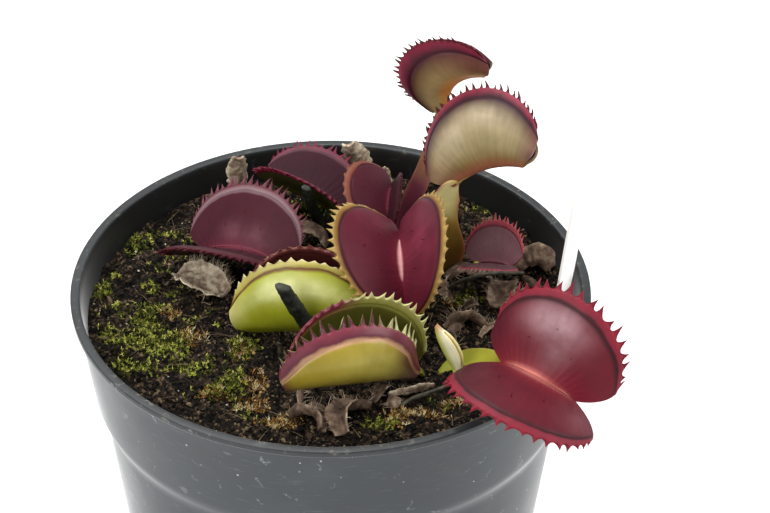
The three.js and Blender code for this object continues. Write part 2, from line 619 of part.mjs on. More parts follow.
export default part;
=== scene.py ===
# %% [markdown]
# # A potted venus flytrap
#
# The real object is a small dark nursery pot full of wet peat. A venus flytrap grows in it: flat
# stalks that each end in a trap of two toothed lobes, some open and red, some shut and green.
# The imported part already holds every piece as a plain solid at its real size. This script puts a
# finer surface over each one and gives it the finish of the real thing.
#
# Almost every piece here is worked out with numpy. A leaf or a pot is a smooth function of two
# numbers, so a grid of those two numbers gives all its points at once.

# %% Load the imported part
import math

import bpy
import numpy as np
from mathutils import Matrix


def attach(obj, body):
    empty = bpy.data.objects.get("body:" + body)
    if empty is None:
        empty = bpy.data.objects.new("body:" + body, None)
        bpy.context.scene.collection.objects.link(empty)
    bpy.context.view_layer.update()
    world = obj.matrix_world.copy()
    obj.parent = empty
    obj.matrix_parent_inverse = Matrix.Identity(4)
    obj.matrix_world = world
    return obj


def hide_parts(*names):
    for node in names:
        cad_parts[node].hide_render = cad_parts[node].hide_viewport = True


MM = 0.001
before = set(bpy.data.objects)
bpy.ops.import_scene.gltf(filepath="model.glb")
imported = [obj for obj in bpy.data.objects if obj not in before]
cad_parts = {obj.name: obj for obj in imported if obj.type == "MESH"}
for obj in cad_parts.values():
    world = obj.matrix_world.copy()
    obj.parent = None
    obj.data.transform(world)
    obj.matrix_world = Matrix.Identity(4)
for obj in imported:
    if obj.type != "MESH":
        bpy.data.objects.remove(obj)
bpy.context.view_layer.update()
print("solids:", len(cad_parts))

# %% [markdown]
# ## Surfaces from grids
#
# Blender can make a shape by hand, with modifiers or from lists of points. Lists of points suit
# leaves best, because every curl and tooth then comes from a formula that can be tuned. The
# helpers below join a grid's points with four-cornered faces, close the surface, and turn all
# its faces outwards.

# %% Grids of points and the faces between them


def unit(vectors):
    """Vectors of length 1: each is divided by its own length."""
    return vectors / np.maximum(np.linalg.norm(vectors, axis=-1, keepdims=True), 1e-12)


def round_angles(count):
    """Angles at even steps once round a circle, from 0."""
    return np.arange(count) * 2 * math.pi / count


def grid_faces(rows, columns, wrap=False):
    """Four corners for each cell of a grid whose points are numbered row by row.
    With wrap, the last column joins the first."""
    i, j = np.meshgrid(np.arange(rows - 1), np.arange(columns - (not wrap)), indexing="ij")
    near, far = i * columns + j, i * columns + (j + 1) % columns
    return np.stack([near, far, far + columns, near + columns], -1).reshape(-1, 4)


def border(rows, columns):
    """The numbers of a grid's border points, once round it."""
    last = rows * columns - 1
    return np.concatenate([
        np.arange(columns),
        np.arange(2, rows + 1) * columns - 1,
        np.arange(last - 1, last - columns, -1),
        np.arange(last - 2 * columns + 1, 0, -columns),
    ])


print("cells in a grid of 4 by 5 points:", len(grid_faces(4, 5)))

# %% Closed surfaces


def shell(points, quads, triangles=None, **values):
    """One closed surface with its faces outwards. Its volume is a sixth of the sum of
    a . (b x c) over its triangles, and where that is negative every face is turned over."""
    points = np.asarray(points, float).reshape(-1, 3)
    triangles = np.zeros((0, 3), int) if triangles is None else triangles
    corners = np.concatenate([quads[:, [0, 1, 2]], quads[:, [0, 2, 3]], triangles])
    a, b, c = (points[corners[:, k]] for k in range(3))
    if np.sum(a * np.cross(b, c)) < 0:
        quads, triangles = quads[:, ::-1], triangles[:, ::-1]
    return {"points": points, "quads": quads, "triangles": triangles, "values": values}


def sheet_shell(upper, lower, **values):
    """A thin sheet between two grids of points, closed by a strip round their border.
    A value is given once for both grids, or as a pair for the upper and the lower one."""
    rows, columns = upper.shape[:2]
    count = rows * columns
    cells = grid_faces(rows, columns)
    edge = border(rows, columns)
    after = np.roll(edge, -1)
    strip = np.stack([edge, after, after + count, edge + count], -1)
    quads = np.concatenate([cells[:, ::-1], cells + count, strip])
    both = {}
    for name, value in values.items():
        above, below = value if isinstance(value, tuple) else (value, value)
        both[name] = np.concatenate([np.broadcast_to(x, (rows, columns)).ravel() for x in (above, below)])
    return shell(np.concatenate([upper.reshape(-1, 3), lower.reshape(-1, 3)]), quads, **both)


def rod_shell(rings, **values):
    """A solid through rings of points, with a fan of triangles from the middle of each end ring."""
    rows, columns = rings.shape[:2]
    points = np.concatenate([rings.reshape(-1, 3), [rings[0].mean(0)], [rings[-1].mean(0)]])
    j = np.arange(columns)
    after = (j + 1) % columns
    start, end = rows * columns, rows * columns + 1
    first = np.stack([np.full(columns, start), after, j], -1)
    final = np.stack([np.full(columns, end), j + start - columns, after + start - columns], -1)
    filled = {}
    for name, value in values.items():
        grid = np.broadcast_to(value, (rows, columns)).astype(float)
        filled[name] = np.concatenate([grid.ravel(), [grid[0].mean(), grid[-1].mean()]])
    quads = grid_faces(rows, columns, wrap=True)
    return shell(points, quads, np.concatenate([first, final]), **filled)


# %% Put shells into a Blender object


def make_piece(name, shells, material, nodes=(), smooth_angle=60):
    """Joins shells, in millimetres, into one mesh object that rides with the part and stands
    for the named solids. Their values become attributes that the material reads."""
    counts = np.cumsum([0] + [len(s["points"]) for s in shells])
    faces = [s[kind] + start for kind in ("quads", "triangles") for s, start in zip(shells, counts)]
    corners = np.concatenate([f.ravel() for f in faces])
    sizes = np.concatenate([np.full(len(f), f.shape[1]) for f in faces])
    points = np.concatenate([s["points"] for s in shells])
    mesh = bpy.data.meshes.new(name)
    mesh.vertices.add(len(points))
    mesh.vertices.foreach_set("co", (points * MM).astype(np.float32).ravel())
    mesh.loops.add(len(corners))
    mesh.loops.foreach_set("vertex_index", corners.astype(np.int32))
    mesh.polygons.add(len(sizes))
    mesh.polygons.foreach_set("loop_start", (np.cumsum(sizes) - sizes).astype(np.int32))
    mesh.update(calc_edges=True)
    for key in sorted({key for s in shells for key in s["values"]}):
        value = np.concatenate([
            np.broadcast_to(s["values"].get(key, 0.0), len(s["points"])) for s in shells
        ])
        mesh.attributes.new(key, "FLOAT", "POINT").data.foreach_set("value", value.astype(np.float32))
    mesh.shade_smooth()
    mesh.set_sharp_from_angle(angle=math.radians(smooth_angle))
    mesh.materials.append(material)
    piece = bpy.data.objects.new(name, mesh)
    bpy.context.scene.collection.objects.link(piece)
    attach(piece, "root")
    if nodes:
        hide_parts(*nodes)
    print(name, "has", int(np.sum(sizes - 2)), "triangles")
    return piece


# %% Smooth curves


def smooth_path(stops, steps):
    """A smooth curve through the stops, with the same number of steps between each two.
    It is a centripetal Catmull-Rom curve: each stretch blends four stops in a pyramid, with
    knots as far apart as the square root of the distance. Further columns follow along."""
    stops = np.asarray(stops, float)
    ends = np.concatenate([[2 * stops[0] - stops[1]], stops, [2 * stops[-1] - stops[-2]]])
    gaps = np.sqrt(np.maximum(np.linalg.norm(np.diff(ends[:, :3], axis=0), axis=1), 1e-6))
    p = [ends[k:len(ends) - 3 + k, None] for k in range(4)]
    t0 = np.zeros((len(stops) - 1, 1, 1))
    t1, t2, t3 = (
        np.sum([gaps[k:k + len(stops) - 1] for k in range(n)], axis=0)[:, None, None]
        for n in (1, 2, 3)
    )
    t = t1 + (t2 - t1) * np.linspace(0, 1, steps, endpoint=False)[None, :, None]
    a = [(tb - t) / (tb - ta) * p[k] + (t - ta) / (tb - ta) * p[k + 1]
         for k, (ta, tb) in enumerate(((t0, t1), (t1, t2), (t2, t3)))]
    b = [(tb - t) / (tb - ta) * a[k] + (t - ta) / (tb - ta) * a[k + 1]
         for k, (ta, tb) in enumerate(((t0, t2), (t1, t3)))]
    curve = (t2 - t) / (t2 - t1) * b[0] + (t - t1) / (t2 - t1) * b[1]
    return np.concatenate([curve.reshape(-1, stops.shape[1]), stops[-1:]])


def path_axes(centre, across):
    """Three axes at each point of a path: along it, across it as near to the given direction
    as a right angle allows, and through, square to both."""
    along = unit(np.gradient(centre, axis=0))
    across = np.broadcast_to(np.asarray(across, float), centre.shape)
    across = unit(across - along * np.sum(along * across, -1, keepdims=True))
    return along, across, np.cross(across, along)


print("4 stops with 7 steps between give", len(smooth_path(np.eye(4, 3), 7)), "points")

# %% Thin spikes

SPIKE_TAPER = 0.7


def spikes(bases, tips, radius, flat=1.0, sag=0.0, sides=4, **values):
    """Many thin closed spikes at once. Each has a ring of points at its base, one half way that
    is SPIKE_TAPER as wide, which sag lifts or drops, and a point at its tip. flat squeezes its
    section."""
    count = len(bases)
    radius = np.broadcast_to(radius, count)[:, None, None]
    along = unit(tips - bases)
    helper = np.where(np.abs(along[:, 2:]) < 0.9, [0, 0, 1], [1, 0, 0])
    across = unit(np.cross(along, helper))
    through = np.cross(along, across)
    angle = round_angles(sides)
    ring = across[:, None] * np.cos(angle)[None, :, None]
    ring = radius * (ring + flat * through[:, None] * np.sin(angle)[None, :, None])
    middle = (bases + tips) / 2 + [0, 0, sag]
    points = np.concatenate([
        bases[:, None], bases[:, None] + ring, middle[:, None] + SPIKE_TAPER * ring, tips[:, None],
    ], axis=1)
    j = np.arange(sides)
    after = (j + 1) % sides
    size = 2 * sides + 2
    quads = np.stack([1 + j, 1 + after, 1 + sides + after, 1 + sides + j], -1)
    fan = np.stack([0 * j, 1 + after, 1 + j], -1)
    point = np.stack([0 * j + size - 1, 1 + sides + j, 1 + sides + after], -1)
    shift = (np.arange(count) * size)[:, None, None]
    filled = {name: np.repeat(np.broadcast_to(value, count), size) for name, value in values.items()}
    return shell(points, (quads + shift).reshape(-1, 4),
                 (np.concatenate([fan, point]) + shift).reshape(-1, 3), **filled)


print("a spike's ring half way up is", SPIKE_TAPER, "as wide")

# %% Crumbs and chips


def turned(generator, count):
    """Random turns as 3 x 3 matrices, each from a random quaternion of length 1."""
    w, x, y, z = unit(generator.normal(size=(count, 4))).T
    return np.stack([
        1 - 2 * (y * y + z * z), 2 * (x * y - z * w), 2 * (x * z + y * w),
        2 * (x * y + z * w), 1 - 2 * (x * x + z * z), 2 * (y * z - x * w),
        2 * (x * z - y * w), 2 * (y * z + x * w), 1 - 2 * (x * x + y * y),
    ], -1).reshape(-1, 3, 3)


GOLDEN = (1 + math.sqrt(5)) / 2
BALL_POINTS = unit(np.array([
    [-1, GOLDEN, 0], [1, GOLDEN, 0], [-1, -GOLDEN, 0], [1, -GOLDEN, 0],
    [0, -1, GOLDEN], [0, 1, GOLDEN], [0, -1, -GOLDEN], [0, 1, -GOLDEN],
    [GOLDEN, 0, -1], [GOLDEN, 0, 1], [-GOLDEN, 0, -1], [-GOLDEN, 0, 1],
]))
BALL_FACES = np.array([
    [0, 11, 5], [0, 5, 1], [0, 1, 7], [0, 7, 10], [0, 10, 11], [1, 5, 9], [5, 11, 4],
    [11, 10, 2], [10, 7, 6], [7, 1, 8], [3, 9, 4], [3, 4, 2], [3, 2, 6], [3, 6, 8],
    [3, 8, 9], [4, 9, 5], [2, 4, 11], [6, 2, 10], [8, 6, 7], [9, 8, 1],
])
BALL = (BALL_POINTS, BALL_FACES)
CHIP_POINTS = np.array([[1, 0, 0], [-1, 0, 0], [0, 1, 0], [0, -1, 0], [0, 0, 1], [0, 0, -1]], float)
CHIP_FACES = np.array([
    [0, 2, 4], [2, 1, 4], [1, 3, 4], [3, 0, 4], [2, 0, 5], [1, 2, 5], [3, 1, 5], [0, 3, 5],
])
CHIP = (CHIP_POINTS, CHIP_FACES)
CRUMB_ROUGHNESS = 0.35
CRUMB_FLATNESS = 0.7


def crumbs(generator, centres, sizes, form=BALL, stretch=1.0, **values):
    """Small rough lumps: a ball of 20 triangles or a chip of 8, whose points move in and out at
    random by the share CRUMB_ROUGHNESS, pulled longer by stretch and turned at random."""
    corners, faces = form
    count, size = len(centres), len(corners)
    rough = 1 + CRUMB_ROUGHNESS * generator.uniform(-1, 1, (count, size, 1))
    points = corners[None] * rough * [stretch, 1, CRUMB_FLATNESS] * np.reshape(sizes, (-1, 1, 1))
    points = np.einsum("kij,knj->kni", turned(generator, count), points) + centres[:, None]
    faces = (faces + (np.arange(count) * size)[:, None, None]).reshape(-1, 3)
    filled = {name: np.repeat(np.broadcast_to(value, count), size) for name, value in values.items()}
    return shell(points, np.zeros((0, 4), int), faces, **filled)


print("faces of a crumb:", len(BALL_FACES), "and of a chip:", len(CHIP_FACES))

# %% [markdown]
# ## Materials from nodes
#
# A material could use pictures, but nodes need none and stay sharp at any distance. Every
# colour below is written as the familiar sRGB hex value, and one function turns it into the
# linear light that Blender works in. One more function adds a node.

# %% Colours and nodes


def light(hex_colour):
    """A hex colour as linear light: a channel c becomes ((c + 0.055) / 1.055) to the power 2.4,
    or c / 12.92 where it is very dark."""
    channels = np.array([int(hex_colour[k:k + 2], 16) / 255 for k in (1, 3, 5)])
    bright = ((channels + 0.055) / 1.055) ** 2.4
    return (*np.where(channels > 0.04045, bright, channels / 12.92), 1.0)


def add_node(tree, kind, inputs=None, stops=None, **settings):
    """Adds a node. Settings are its properties, and inputs are its sockets by name or number,
    each with a value, a hex colour or another node's output to link. stops fill a colour ramp."""
    node = tree.nodes.new("ShaderNode" + kind)
    for name, value in settings.items():
        setattr(node, name, value)
    for k, (position, colour) in enumerate(stops or []):
        ramp = node.color_ramp.elements
        element = ramp[k] if k < min(2, len(ramp)) else ramp.new(position)
        element.position = position
        element.color = light(colour)
    for name, value in (inputs or {}).items():
        if isinstance(value, bpy.types.NodeSocket):
            tree.links.new(value, node.inputs[name])
        else:
            node.inputs[name].default_value = light(value) if isinstance(value, str) else value
    return node


def new_material(name):
    """An empty material and its node tree."""
    material = bpy.data.materials.new(name)
    material.use_nodes = True
    material.node_tree.nodes.clear()
    return material, material.node_tree


# The sockets of a Mix node for numbers and for colours, which share their names
NUMBER_A, NUMBER_B = 2, 3
MIX_A, MIX_B, MIX_RESULT = 6, 7, 2
# A MapRange node carries a number over from one range to another, and holds it at the ends
RANGE_SOCKETS = ("Value", "From Min", "From Max", "To Min", "To Max")


def per_mm(size):
    """The texture scale that makes a pattern's cell this many millimetres."""
    return 1 / (size * MM)


print("middle grey as linear light:", round(float(light("#808080")[0]), 3))

# %% [markdown]
# ## Camera, light and floor
#
# The photograph looks down on the pot at about 37 degrees from half a metre away, with a long
# lens, in bright shadowless light on white. Large soft lamps and a bright world copy that, and
# the plain standard colours keep white as white.

# %% Camera

RIM_CENTRE = np.array([0, 0, 72])
CAMERA_DISTANCE = 550
CAMERA_ELEVATION = math.radians(36.8)
CAMERA_AIM = np.array([9.3, 0, 78.3])
CAMERA_ROLL = math.radians(-0.55)
LENS_MM = 148.6
SENSOR_MM = 36


def set_up(name, data, place, right, up, back):
    """Puts a camera or a lamp at a place in mm, turned so that its own axes are the three given:
    right, up and back, away from what it points at."""
    thing = bpy.data.objects.new(name, data)
    matrix = np.eye(4)
    matrix[:3] = np.column_stack([right, up, back, place * MM])
    thing.matrix_world = Matrix(matrix.tolist())
    bpy.context.scene.collection.objects.link(thing)
    return thing


def aim_camera():
    """Camera axes: back points from the aim to the lens, right is level, up is square to both,
    and roll turns right and up about back."""
    place = RIM_CENTRE + CAMERA_DISTANCE * np.array(
        [0, -math.cos(CAMERA_ELEVATION), math.sin(CAMERA_ELEVATION)])
    back = unit(place - CAMERA_AIM)
    level = unit(np.cross([0, 0, 1], back))
    upright = np.cross(back, level)
    right = math.cos(CAMERA_ROLL) * level - math.sin(CAMERA_ROLL) * upright
    up = math.sin(CAMERA_ROLL) * level + math.cos(CAMERA_ROLL) * upright
    data = bpy.data.cameras.new("photo_camera")
    data.lens = LENS_MM
    data.sensor_width = SENSOR_MM
    return set_up("photo_camera", data, place, right, up, back)


camera = aim_camera()
bpy.context.scene.camera = camera
bpy.context.scene.view_settings.view_transform = "Standard"
print("camera at", [round(x / MM) for x in camera.matrix_world.translation])

# %% Light and floor

LAMPS = {
    "overhead": {"place": [-120, 160, 620], "size": 520, "watts": 3.4},
    "front_left": {"place": [-420, -420, 420], "size": 420, "watts": 2.4},
    "right": {"place": [480, -60, 380], "size": 360, "watts": 1.6},
}
WORLD_STRENGTH = 0.62
FLOOR_SIZE = 6000

for name, lamp in LAMPS.items():
    data = bpy.data.lights.new(name, "AREA")
    data.energy = lamp["watts"]
    data.size = lamp["size"] * MM
    place = np.array(lamp["place"], float)
    back = unit(place - RIM_CENTRE)
    level = unit(np.cross([0, 0, 1], back))
    set_up(name, data, place, level, np.cross(back, level), back)

world = bpy.data.worlds.new("soft_white")
world.use_nodes = True
background = world.node_tree.nodes["Background"]
background.inputs["Color"].default_value = (1, 1, 1, 1)
background.inputs["Strength"].default_value = WORLD_STRENGTH
bpy.context.scene.world = world

floor_mesh = bpy.data.meshes.new("floor")
half = FLOOR_SIZE * MM / 2
floor_mesh.from_pydata(
    [(-half, -half, 0), (half, -half, 0), (half, half, 0), (-half, half, 0)], [], [(0, 1, 2, 3)])
white_paper, tree = new_material("white_paper")
surface = add_node(tree, "BsdfPrincipled", {
    "Base Color": "#fbfbfb", "Roughness": 0.9, "Specular IOR Level": 0.2,
})
add_node(tree, "OutputMaterial", {"Surface": surface.outputs[0]})
floor_mesh.materials.append(white_paper)
floor = bpy.data.objects.new("floor", floor_mesh)
bpy.context.scene.collection.objects.link(floor)
print("lamps:", len(LAMPS))

# %% [markdown]
# ## The pot
#
# A nursery pot is thin polypropylene, moulded dark blue-grey. It is turned: one outline goes
# round the axis. The outline repeats the solid's, with its corners rounded, and the drain holes
# are cut out of its floor. The plastic is satin, and handling leaves fine pale scratches and
# specks, with lime marks on the lip where water has dried.

# %% The pot's outline

POT_HEIGHT = 72
RIM_RADIUS = 45
LIP_DEPTH = 1.2
COLLAR_TOP_RADIUS = 44.1
COLLAR_BOTTOM_RADIUS = 41.6
COLLAR_BOTTOM_Z = 53
STEP_BOTTOM_Z = 50
STEP_WIDTH = 1.5
BASE_RADIUS = 33.5
POT_WALL = 1
FLOOR_THICKNESS = 1.2
AXIS_GAP = 2
DRAIN_HOLES = 6
DRAIN_RADIUS = 3.5
DRAIN_CIRCLE = 23
DRAIN_SIDES = 32
CORNER_STEPS = 5
LONGEST_STRAIGHT = 4


def rounded_outline(corners):
    """An outline whose corners are replaced by short curves. A corner holds r, z and its cut: its
    curve runs from a point one cut before it to one after it, as a quadratic Bezier with the
    corner as control. No cut takes up more than 1 / 2.2 of a side."""
    cuts = np.asarray(corners, float)[:, 2]
    corners = np.asarray(corners, float)[:, :2]
    points = [corners[:1]]
    for before, corner, after, cut in zip(corners, corners[1:], corners[2:], cuts[1:]):
        cut = min(cut, np.linalg.norm(before - corner) / 2.2, np.linalg.norm(after - corner) / 2.2)
        start = corner + cut * unit(before - corner)
        end = corner + cut * unit(after - corner)
        t = np.linspace(0, 1, CORNER_STEPS)[:, None]
        points.append((1 - t) ** 2 * start + 2 * t * (1 - t) * corner + t ** 2 * end)
    points.append(corners[-1:])
    return np.concatenate(points)


def subdivided(outline, longest):
    """The same outline with no straight longer than the given length."""
    pieces = [np.linspace(a, b, max(2, math.ceil(np.linalg.norm(b - a) / longest) + 1))[:-1]
              for a, b in zip(outline, outline[1:])]
    return np.concatenate([*pieces, outline[-1:]])


print("pot in mm:", 2 * RIM_RADIUS, "across and", POT_HEIGHT, "high")

# %% The pot's surface and its drain holes


def pot_shell(segments=192):
    """The outline turned about Z: x = r sin(angle), y = r cos(angle). Both its ends lie near the
    axis, and each is closed with a fan. The value inside is 1 on the inner wall and the floor."""
    step_radius = COLLAR_BOTTOM_RADIUS - STEP_WIDTH
    lip_z = POT_HEIGHT - LIP_DEPTH
    inner = COLLAR_TOP_RADIUS - POT_WALL
    # Each corner is its radius, its height and its cut: up the outside, then down the inside
    outline = subdivided(rounded_outline([
        [AXIS_GAP, 0, 0], [BASE_RADIUS, 0, 0.7], [step_radius, STEP_BOTTOM_Z, 1.6],
        [COLLAR_BOTTOM_RADIUS, COLLAR_BOTTOM_Z, 1.2], [COLLAR_TOP_RADIUS, lip_z, 0.2],
        [RIM_RADIUS, lip_z, 0.3], [RIM_RADIUS, POT_HEIGHT, 0.35], [inner + 0.3, POT_HEIGHT, 0.3],
        [inner, lip_z, 0.5], [COLLAR_BOTTOM_RADIUS - POT_WALL, COLLAR_BOTTOM_Z, 1],
        [step_radius - POT_WALL, STEP_BOTTOM_Z, 1], [BASE_RADIUS - POT_WALL, FLOOR_THICKNESS, 0.7],
        [AXIS_GAP, FLOOR_THICKNESS, 0],
    ]), LONGEST_STRAIGHT)
    angle = round_angles(segments)
    rings = np.stack([
        outline[:, :1] * np.sin(angle), outline[:, :1] * np.cos(angle),
        np.broadcast_to(outline[:, 1:], (len(outline), segments)),
    ], -1)
    # The flat of the lip starts at the highest and outermost point, and past it and the corner
    # after it comes the inside
    lip_start = np.argmax(outline[:, 1] + 0.01 * outline[:, 0])
    inside = np.arange(len(outline)) > lip_start + CORNER_STEPS
    return rod_shell(rings, inside=inside[:, None])


def cut_drain_holes(pot):
    """Cuts the holes with one Boolean modifier, and applies it. Each cutter is a round rod."""
    angle = round_angles(DRAIN_SIDES)
    circle = DRAIN_RADIUS * np.stack([np.cos(angle), np.sin(angle)], -1)
    cutters = []
    for turn in round_angles(DRAIN_HOLES):
        ring = circle + DRAIN_CIRCLE * np.array([math.cos(turn), math.sin(turn)])
        cutters.append(rod_shell(np.stack([
            np.column_stack([ring, np.full(DRAIN_SIDES, z)]) for z in (-1, FLOOR_THICKNESS + 1)
        ])))
    cutter = make_piece("drain_cutter", cutters, pot.data.materials[0])
    boolean = pot.modifiers.new("drain_holes", "BOOLEAN")
    boolean.object = cutter
    boolean.solver = "EXACT"
    depsgraph = bpy.context.evaluated_depsgraph_get()
    cut = bpy.data.meshes.new_from_object(pot.evaluated_get(depsgraph))
    pot.modifiers.clear()
    pot.data = cut
    bpy.data.objects.remove(cutter)


# %% Moulded polypropylene with scratches
# Each set of scratches has its turns about x and y, its length in mm and the level of the noise
# above which a scratch shows.

SCRATCHES = ((0.2, -0.3, 6, 0.7), (-0.5, 0.35, 3, 0.71), (0.8, 0.6, 5, 0.71))
SCRATCH_WIDTH = 0.2
# The height band of the lip, which gets a dark layer of grime and painted shade, and dried lime
LIP_BAND_FROM, LIP_BAND_TO = POT_HEIGHT - 1.4, POT_HEIGHT - 0.4


def polypropylene():
    """Satin moulded plastic: IOR 1.49, roughness 0.34 to 0.5, and a sheen as of fine dust.
    Scratches are noise stretched into fine short lines in three directions, and scuffs are the
    thin lines where a noise passes its middle, kept where the wall is worn. Specks are the rare
    small cells of a Voronoi pattern. The lip is darkened by grime and by painted shade, with
    dried lime in patches. The inner wall and floor are darkened almost to black, by wet peat and
    by painted shade. Each of these is a share and a colour, laid on in turn."""
    material, tree = new_material("moulded_polypropylene")
    place = add_node(tree, "TexCoord").outputs["Object"]
    # Each noise has the size of its cells in mm and its detail
    noises = {key: add_node(tree, "TexNoise", {
        "Vector": place, "Scale": per_mm(size), "Detail": detail,
    }).outputs["Fac"] for key, size, detail in (
        ("haze", 14, 5), ("wavy", 6.5, 4), ("worn", 2.8, 5), ("dried", 1.4, 6), ("grain", 0.5, 3))}
    cells = add_node(tree, "TexVoronoi", {"Vector": place, "Scale": per_mm(1.7)})
    drawn = add_node(tree, "SeparateColor", {"Color": cells.outputs["Color"]}).outputs[0]
    height = add_node(tree, "SeparateXYZ", {"Vector": place}).outputs["Z"]
    inside = add_node(tree, "Attribute", attribute_name="inside").outputs["Fac"]
    away = add_node(tree, "Math", {0: noises["wavy"], 1: 0.5}, operation="SUBTRACT").outputs[0]
    away = add_node(tree, "Math", {0: away}, operation="ABSOLUTE").outputs[0]
    ranges = {
        "threads": (away, 0.012, 0.003),
        "worn": (noises["worn"], 0.55, 0.65, 0.0, 0.38),
        "small": (cells.outputs["Distance"], 0.13, 0.07),
        "rare": (drawn, 0.9, 0.94, 0.0, 0.75),
        "on_lip": (height, LIP_BAND_FROM * MM, LIP_BAND_TO * MM),
        "dried": (noises["dried"], 0.6, 0.74, 0.0, 0.3),
        "wet": (inside, 0.0, 1.0, 0.0, 0.85),
        "rough": (noises["haze"], 0.3, 0.7, 0.34, 0.5),
    }
    carried = {key: add_node(tree, "MapRange", dict(zip(RANGE_SOCKETS, numbers))).outputs[0]
               for key, numbers in ranges.items()}

    layers = []
    for turn_x, turn_y, long_mm, level in SCRATCHES:
        stretched = add_node(tree, "Mapping", {
            "Vector": place, "Rotation": (turn_x, turn_y, 0.0),
            "Scale": (per_mm(long_mm), per_mm(long_mm), per_mm(SCRATCH_WIDTH)),
        })
        lines = add_node(tree, "TexNoise", {
            "Vector": stretched.outputs[0], "Scale": 1.0, "Detail": 1.0,
        })
        scratch = add_node(tree, "MapRange", {
            "Value": lines.outputs["Fac"], "From Min": level, "From Max": level + 0.06, "To Max": 0.16,
        })
        layers.append((scratch.outputs[0], "#8d9395"))
    # On the lip: a dark layer of grime with painted shade, and dried lime in patches
    for first, second, colour in (
            ("threads", carried["worn"], "#a9acaa"), ("small", carried["rare"], "#cfcdc4"),
            ("on_lip", 0.45, "#14130f"), ("on_lip", carried["dried"], "#a39a86")):
        share = add_node(tree, "Math", {0: carried[first], 1: second}, operation="MULTIPLY")
        layers.append((share.outputs[0], colour))
    # The inner wall and floor are darkened almost to black: wet peat on them, and painted shade in the
    # pot's hollow
    layers.append((carried["wet"], "#100e0c"))
    body = add_node(tree, "ValToRGB", {"Fac": noises["haze"]}, stops=[
        (0.3, "#24292d"), (0.55, "#2a3034"), (0.75, "#363c40"),
    ]).outputs["Color"]
    for share, colour in layers:
        body = add_node(tree, "Mix", {0: share, MIX_A: body, MIX_B: colour},
                        data_type="RGBA").outputs[MIX_RESULT]
    bump = add_node(tree, "Bump", {
        "Height": noises["grain"], "Strength": 0.12, "Distance": 0.05 * MM,
    })
    surface = add_node(tree, "BsdfPrincipled", {
        "Base Color": body, "Roughness": carried["rough"], "IOR": 1.49, "Normal": bump.outputs[0],
        "Sheen Weight": 0.9, "Sheen Roughness": 0.25,
    })
    add_node(tree, "OutputMaterial", {"Surface": surface.outputs[0]})
    return material


pot = make_piece("nursery_pot", [pot_shell()], polypropylene(), nodes=["pot"],
                 smooth_angle=40)
cut_drain_holes(pot)
print("drain holes:", DRAIN_HOLES)

# %% [markdown]
# ## The peat
#
# Potting peat is a dark crumbly bed. A smooth disc would look like paint, so the bed is a fine
# height field with lumps of four sizes, and thousands of loose crumbs and fibres lie on it.

# %% Lumps in the soil

SOIL_TOP = 66.4
SOIL_RADIUS = 42.2
SOIL_DOME = 1.1
SOIL_LUMP = 0.5
GAP = 0.35
LATTICE = 64


def value_noise(x, y, cell, seed):
    """Smooth random heights from -1 to 1: random numbers on a square lattice, blended between
    its corners with the weight 3t^2 - 2t^3. The lattice repeats after LATTICE cells."""
    lattice = np.random.default_rng(seed).uniform(-1, 1, (LATTICE, LATTICE))
    i, j = np.floor(x / cell).astype(int), np.floor(y / cell).astype(int)
    s, t = x / cell - i, y / cell - j
    s, t = s * s * (3 - 2 * s), t * t * (3 - 2 * t)
    i, j, beside, beyond = i % LATTICE, j % LATTICE, (i + 1) % LATTICE, (j + 1) % LATTICE
    near = lattice[i, j] * (1 - s) + lattice[beside, j] * s
    far = lattice[i, beyond] * (1 - s) + lattice[beside, beyond] * s
    return near * (1 - t) + far * t


def soil_plain(x, y):
    """The solid's own top: a low dome with a sum of waves on it."""
    dome = SOIL_DOME * (1 - (x * x + y * y) / SOIL_RADIUS ** 2)
    waves = np.sin(0.42 * x + 1.3) * np.cos(0.37 * y - 0.4)
    waves = waves + 0.6 * np.sin(0.71 * x - 0.53 * y + 2.1) + 0.4 * np.sin(1.13 * y + 0.31 * x)
    return SOIL_TOP + dome + SOIL_LUMP * waves


# The size and the height of each kind of lump
LUMPS = ((6.5, 0.55), (2.6, 0.42), (1.1, 0.34), (0.55, 0.2))


def soil_height(x, y):
    """The finer top: the solid's top with lumps of four sizes added."""
    height = soil_plain(x, y)
    for k, (cell, amount) in enumerate(LUMPS):
        height = height + amount * value_noise(x + 7 * k, y - 5 * k, cell, 20 + k)
    return height


print("soil at its middle in mm:", round(float(soil_height(0, 0)), 1))

# %% Where moss grows
# Each patch has its centre x and y, its half width and half depth in mm, and how thick it is.

MOSS_PATCHES = (
    (-31.4, -3.2, 3.6, 4.2, 1.0), (-39.5, 6, 3.4, 3.4, 0.9), (-37, 0.5, 3, 2.6, 0.9),
    (-34.4, -6.8, 4.4, 2.6, 0.9), (-29, -10.4, 4.4, 2.8, 0.85), (-33.5, -15, 4, 3, 0.6),
    (-32.7, 5.6, 4, 2.2, 0.6), (-27.4, 5, 2.6, 2, 0.6), (-32, 21, 5, 3.4, 0.75),
    (-28.4, 14, 3, 2.6, 0.5), (-16.9, -20, 2.6, 4, 0.75), (-15.4, -11.6, 2.2, 3.2, 0.9),
    (-20.4, -24, 3, 2.2, 0.55), (-24, -17, 5, 3, 0.4), (-22, -4, 4, 3, 0.4), (-12.8, -28.6, 3, 2, 0.5),
    (31, 32, 6, 4, 0.55), (24, 2.4, 3.4, 2.4, 0.45), (9, -31.4, 4, 1.8, 0.45), (20, -27, 3.4, 2, 0.4),
    (-4, 30, 6, 3, 0.3),
)


def moss_cover(x, y):
    """How thick the moss is at a place, from 0 to 1: the strongest of the patches, each an
    exp(-d^2) hump over its ellipse, broken up by noise."""
    cover = np.zeros(np.shape(x))
    for centre_x, centre_y, wide, deep, amount in MOSS_PATCHES:
        distance = ((x - centre_x) / wide) ** 2 + ((y - centre_y) / deep) ** 2
        cover = np.maximum(cover, amount * np.exp(-distance))
    broken = value_noise(x, y, 3.2, 5) + 0.7 * value_noise(x, y, 1.3, 6)
    return np.clip(cover * (1.2 + 1.5 * broken) - 0.08, 0, 1)


print("moss patches:", len(MOSS_PATCHES))

# %% The bed of peat


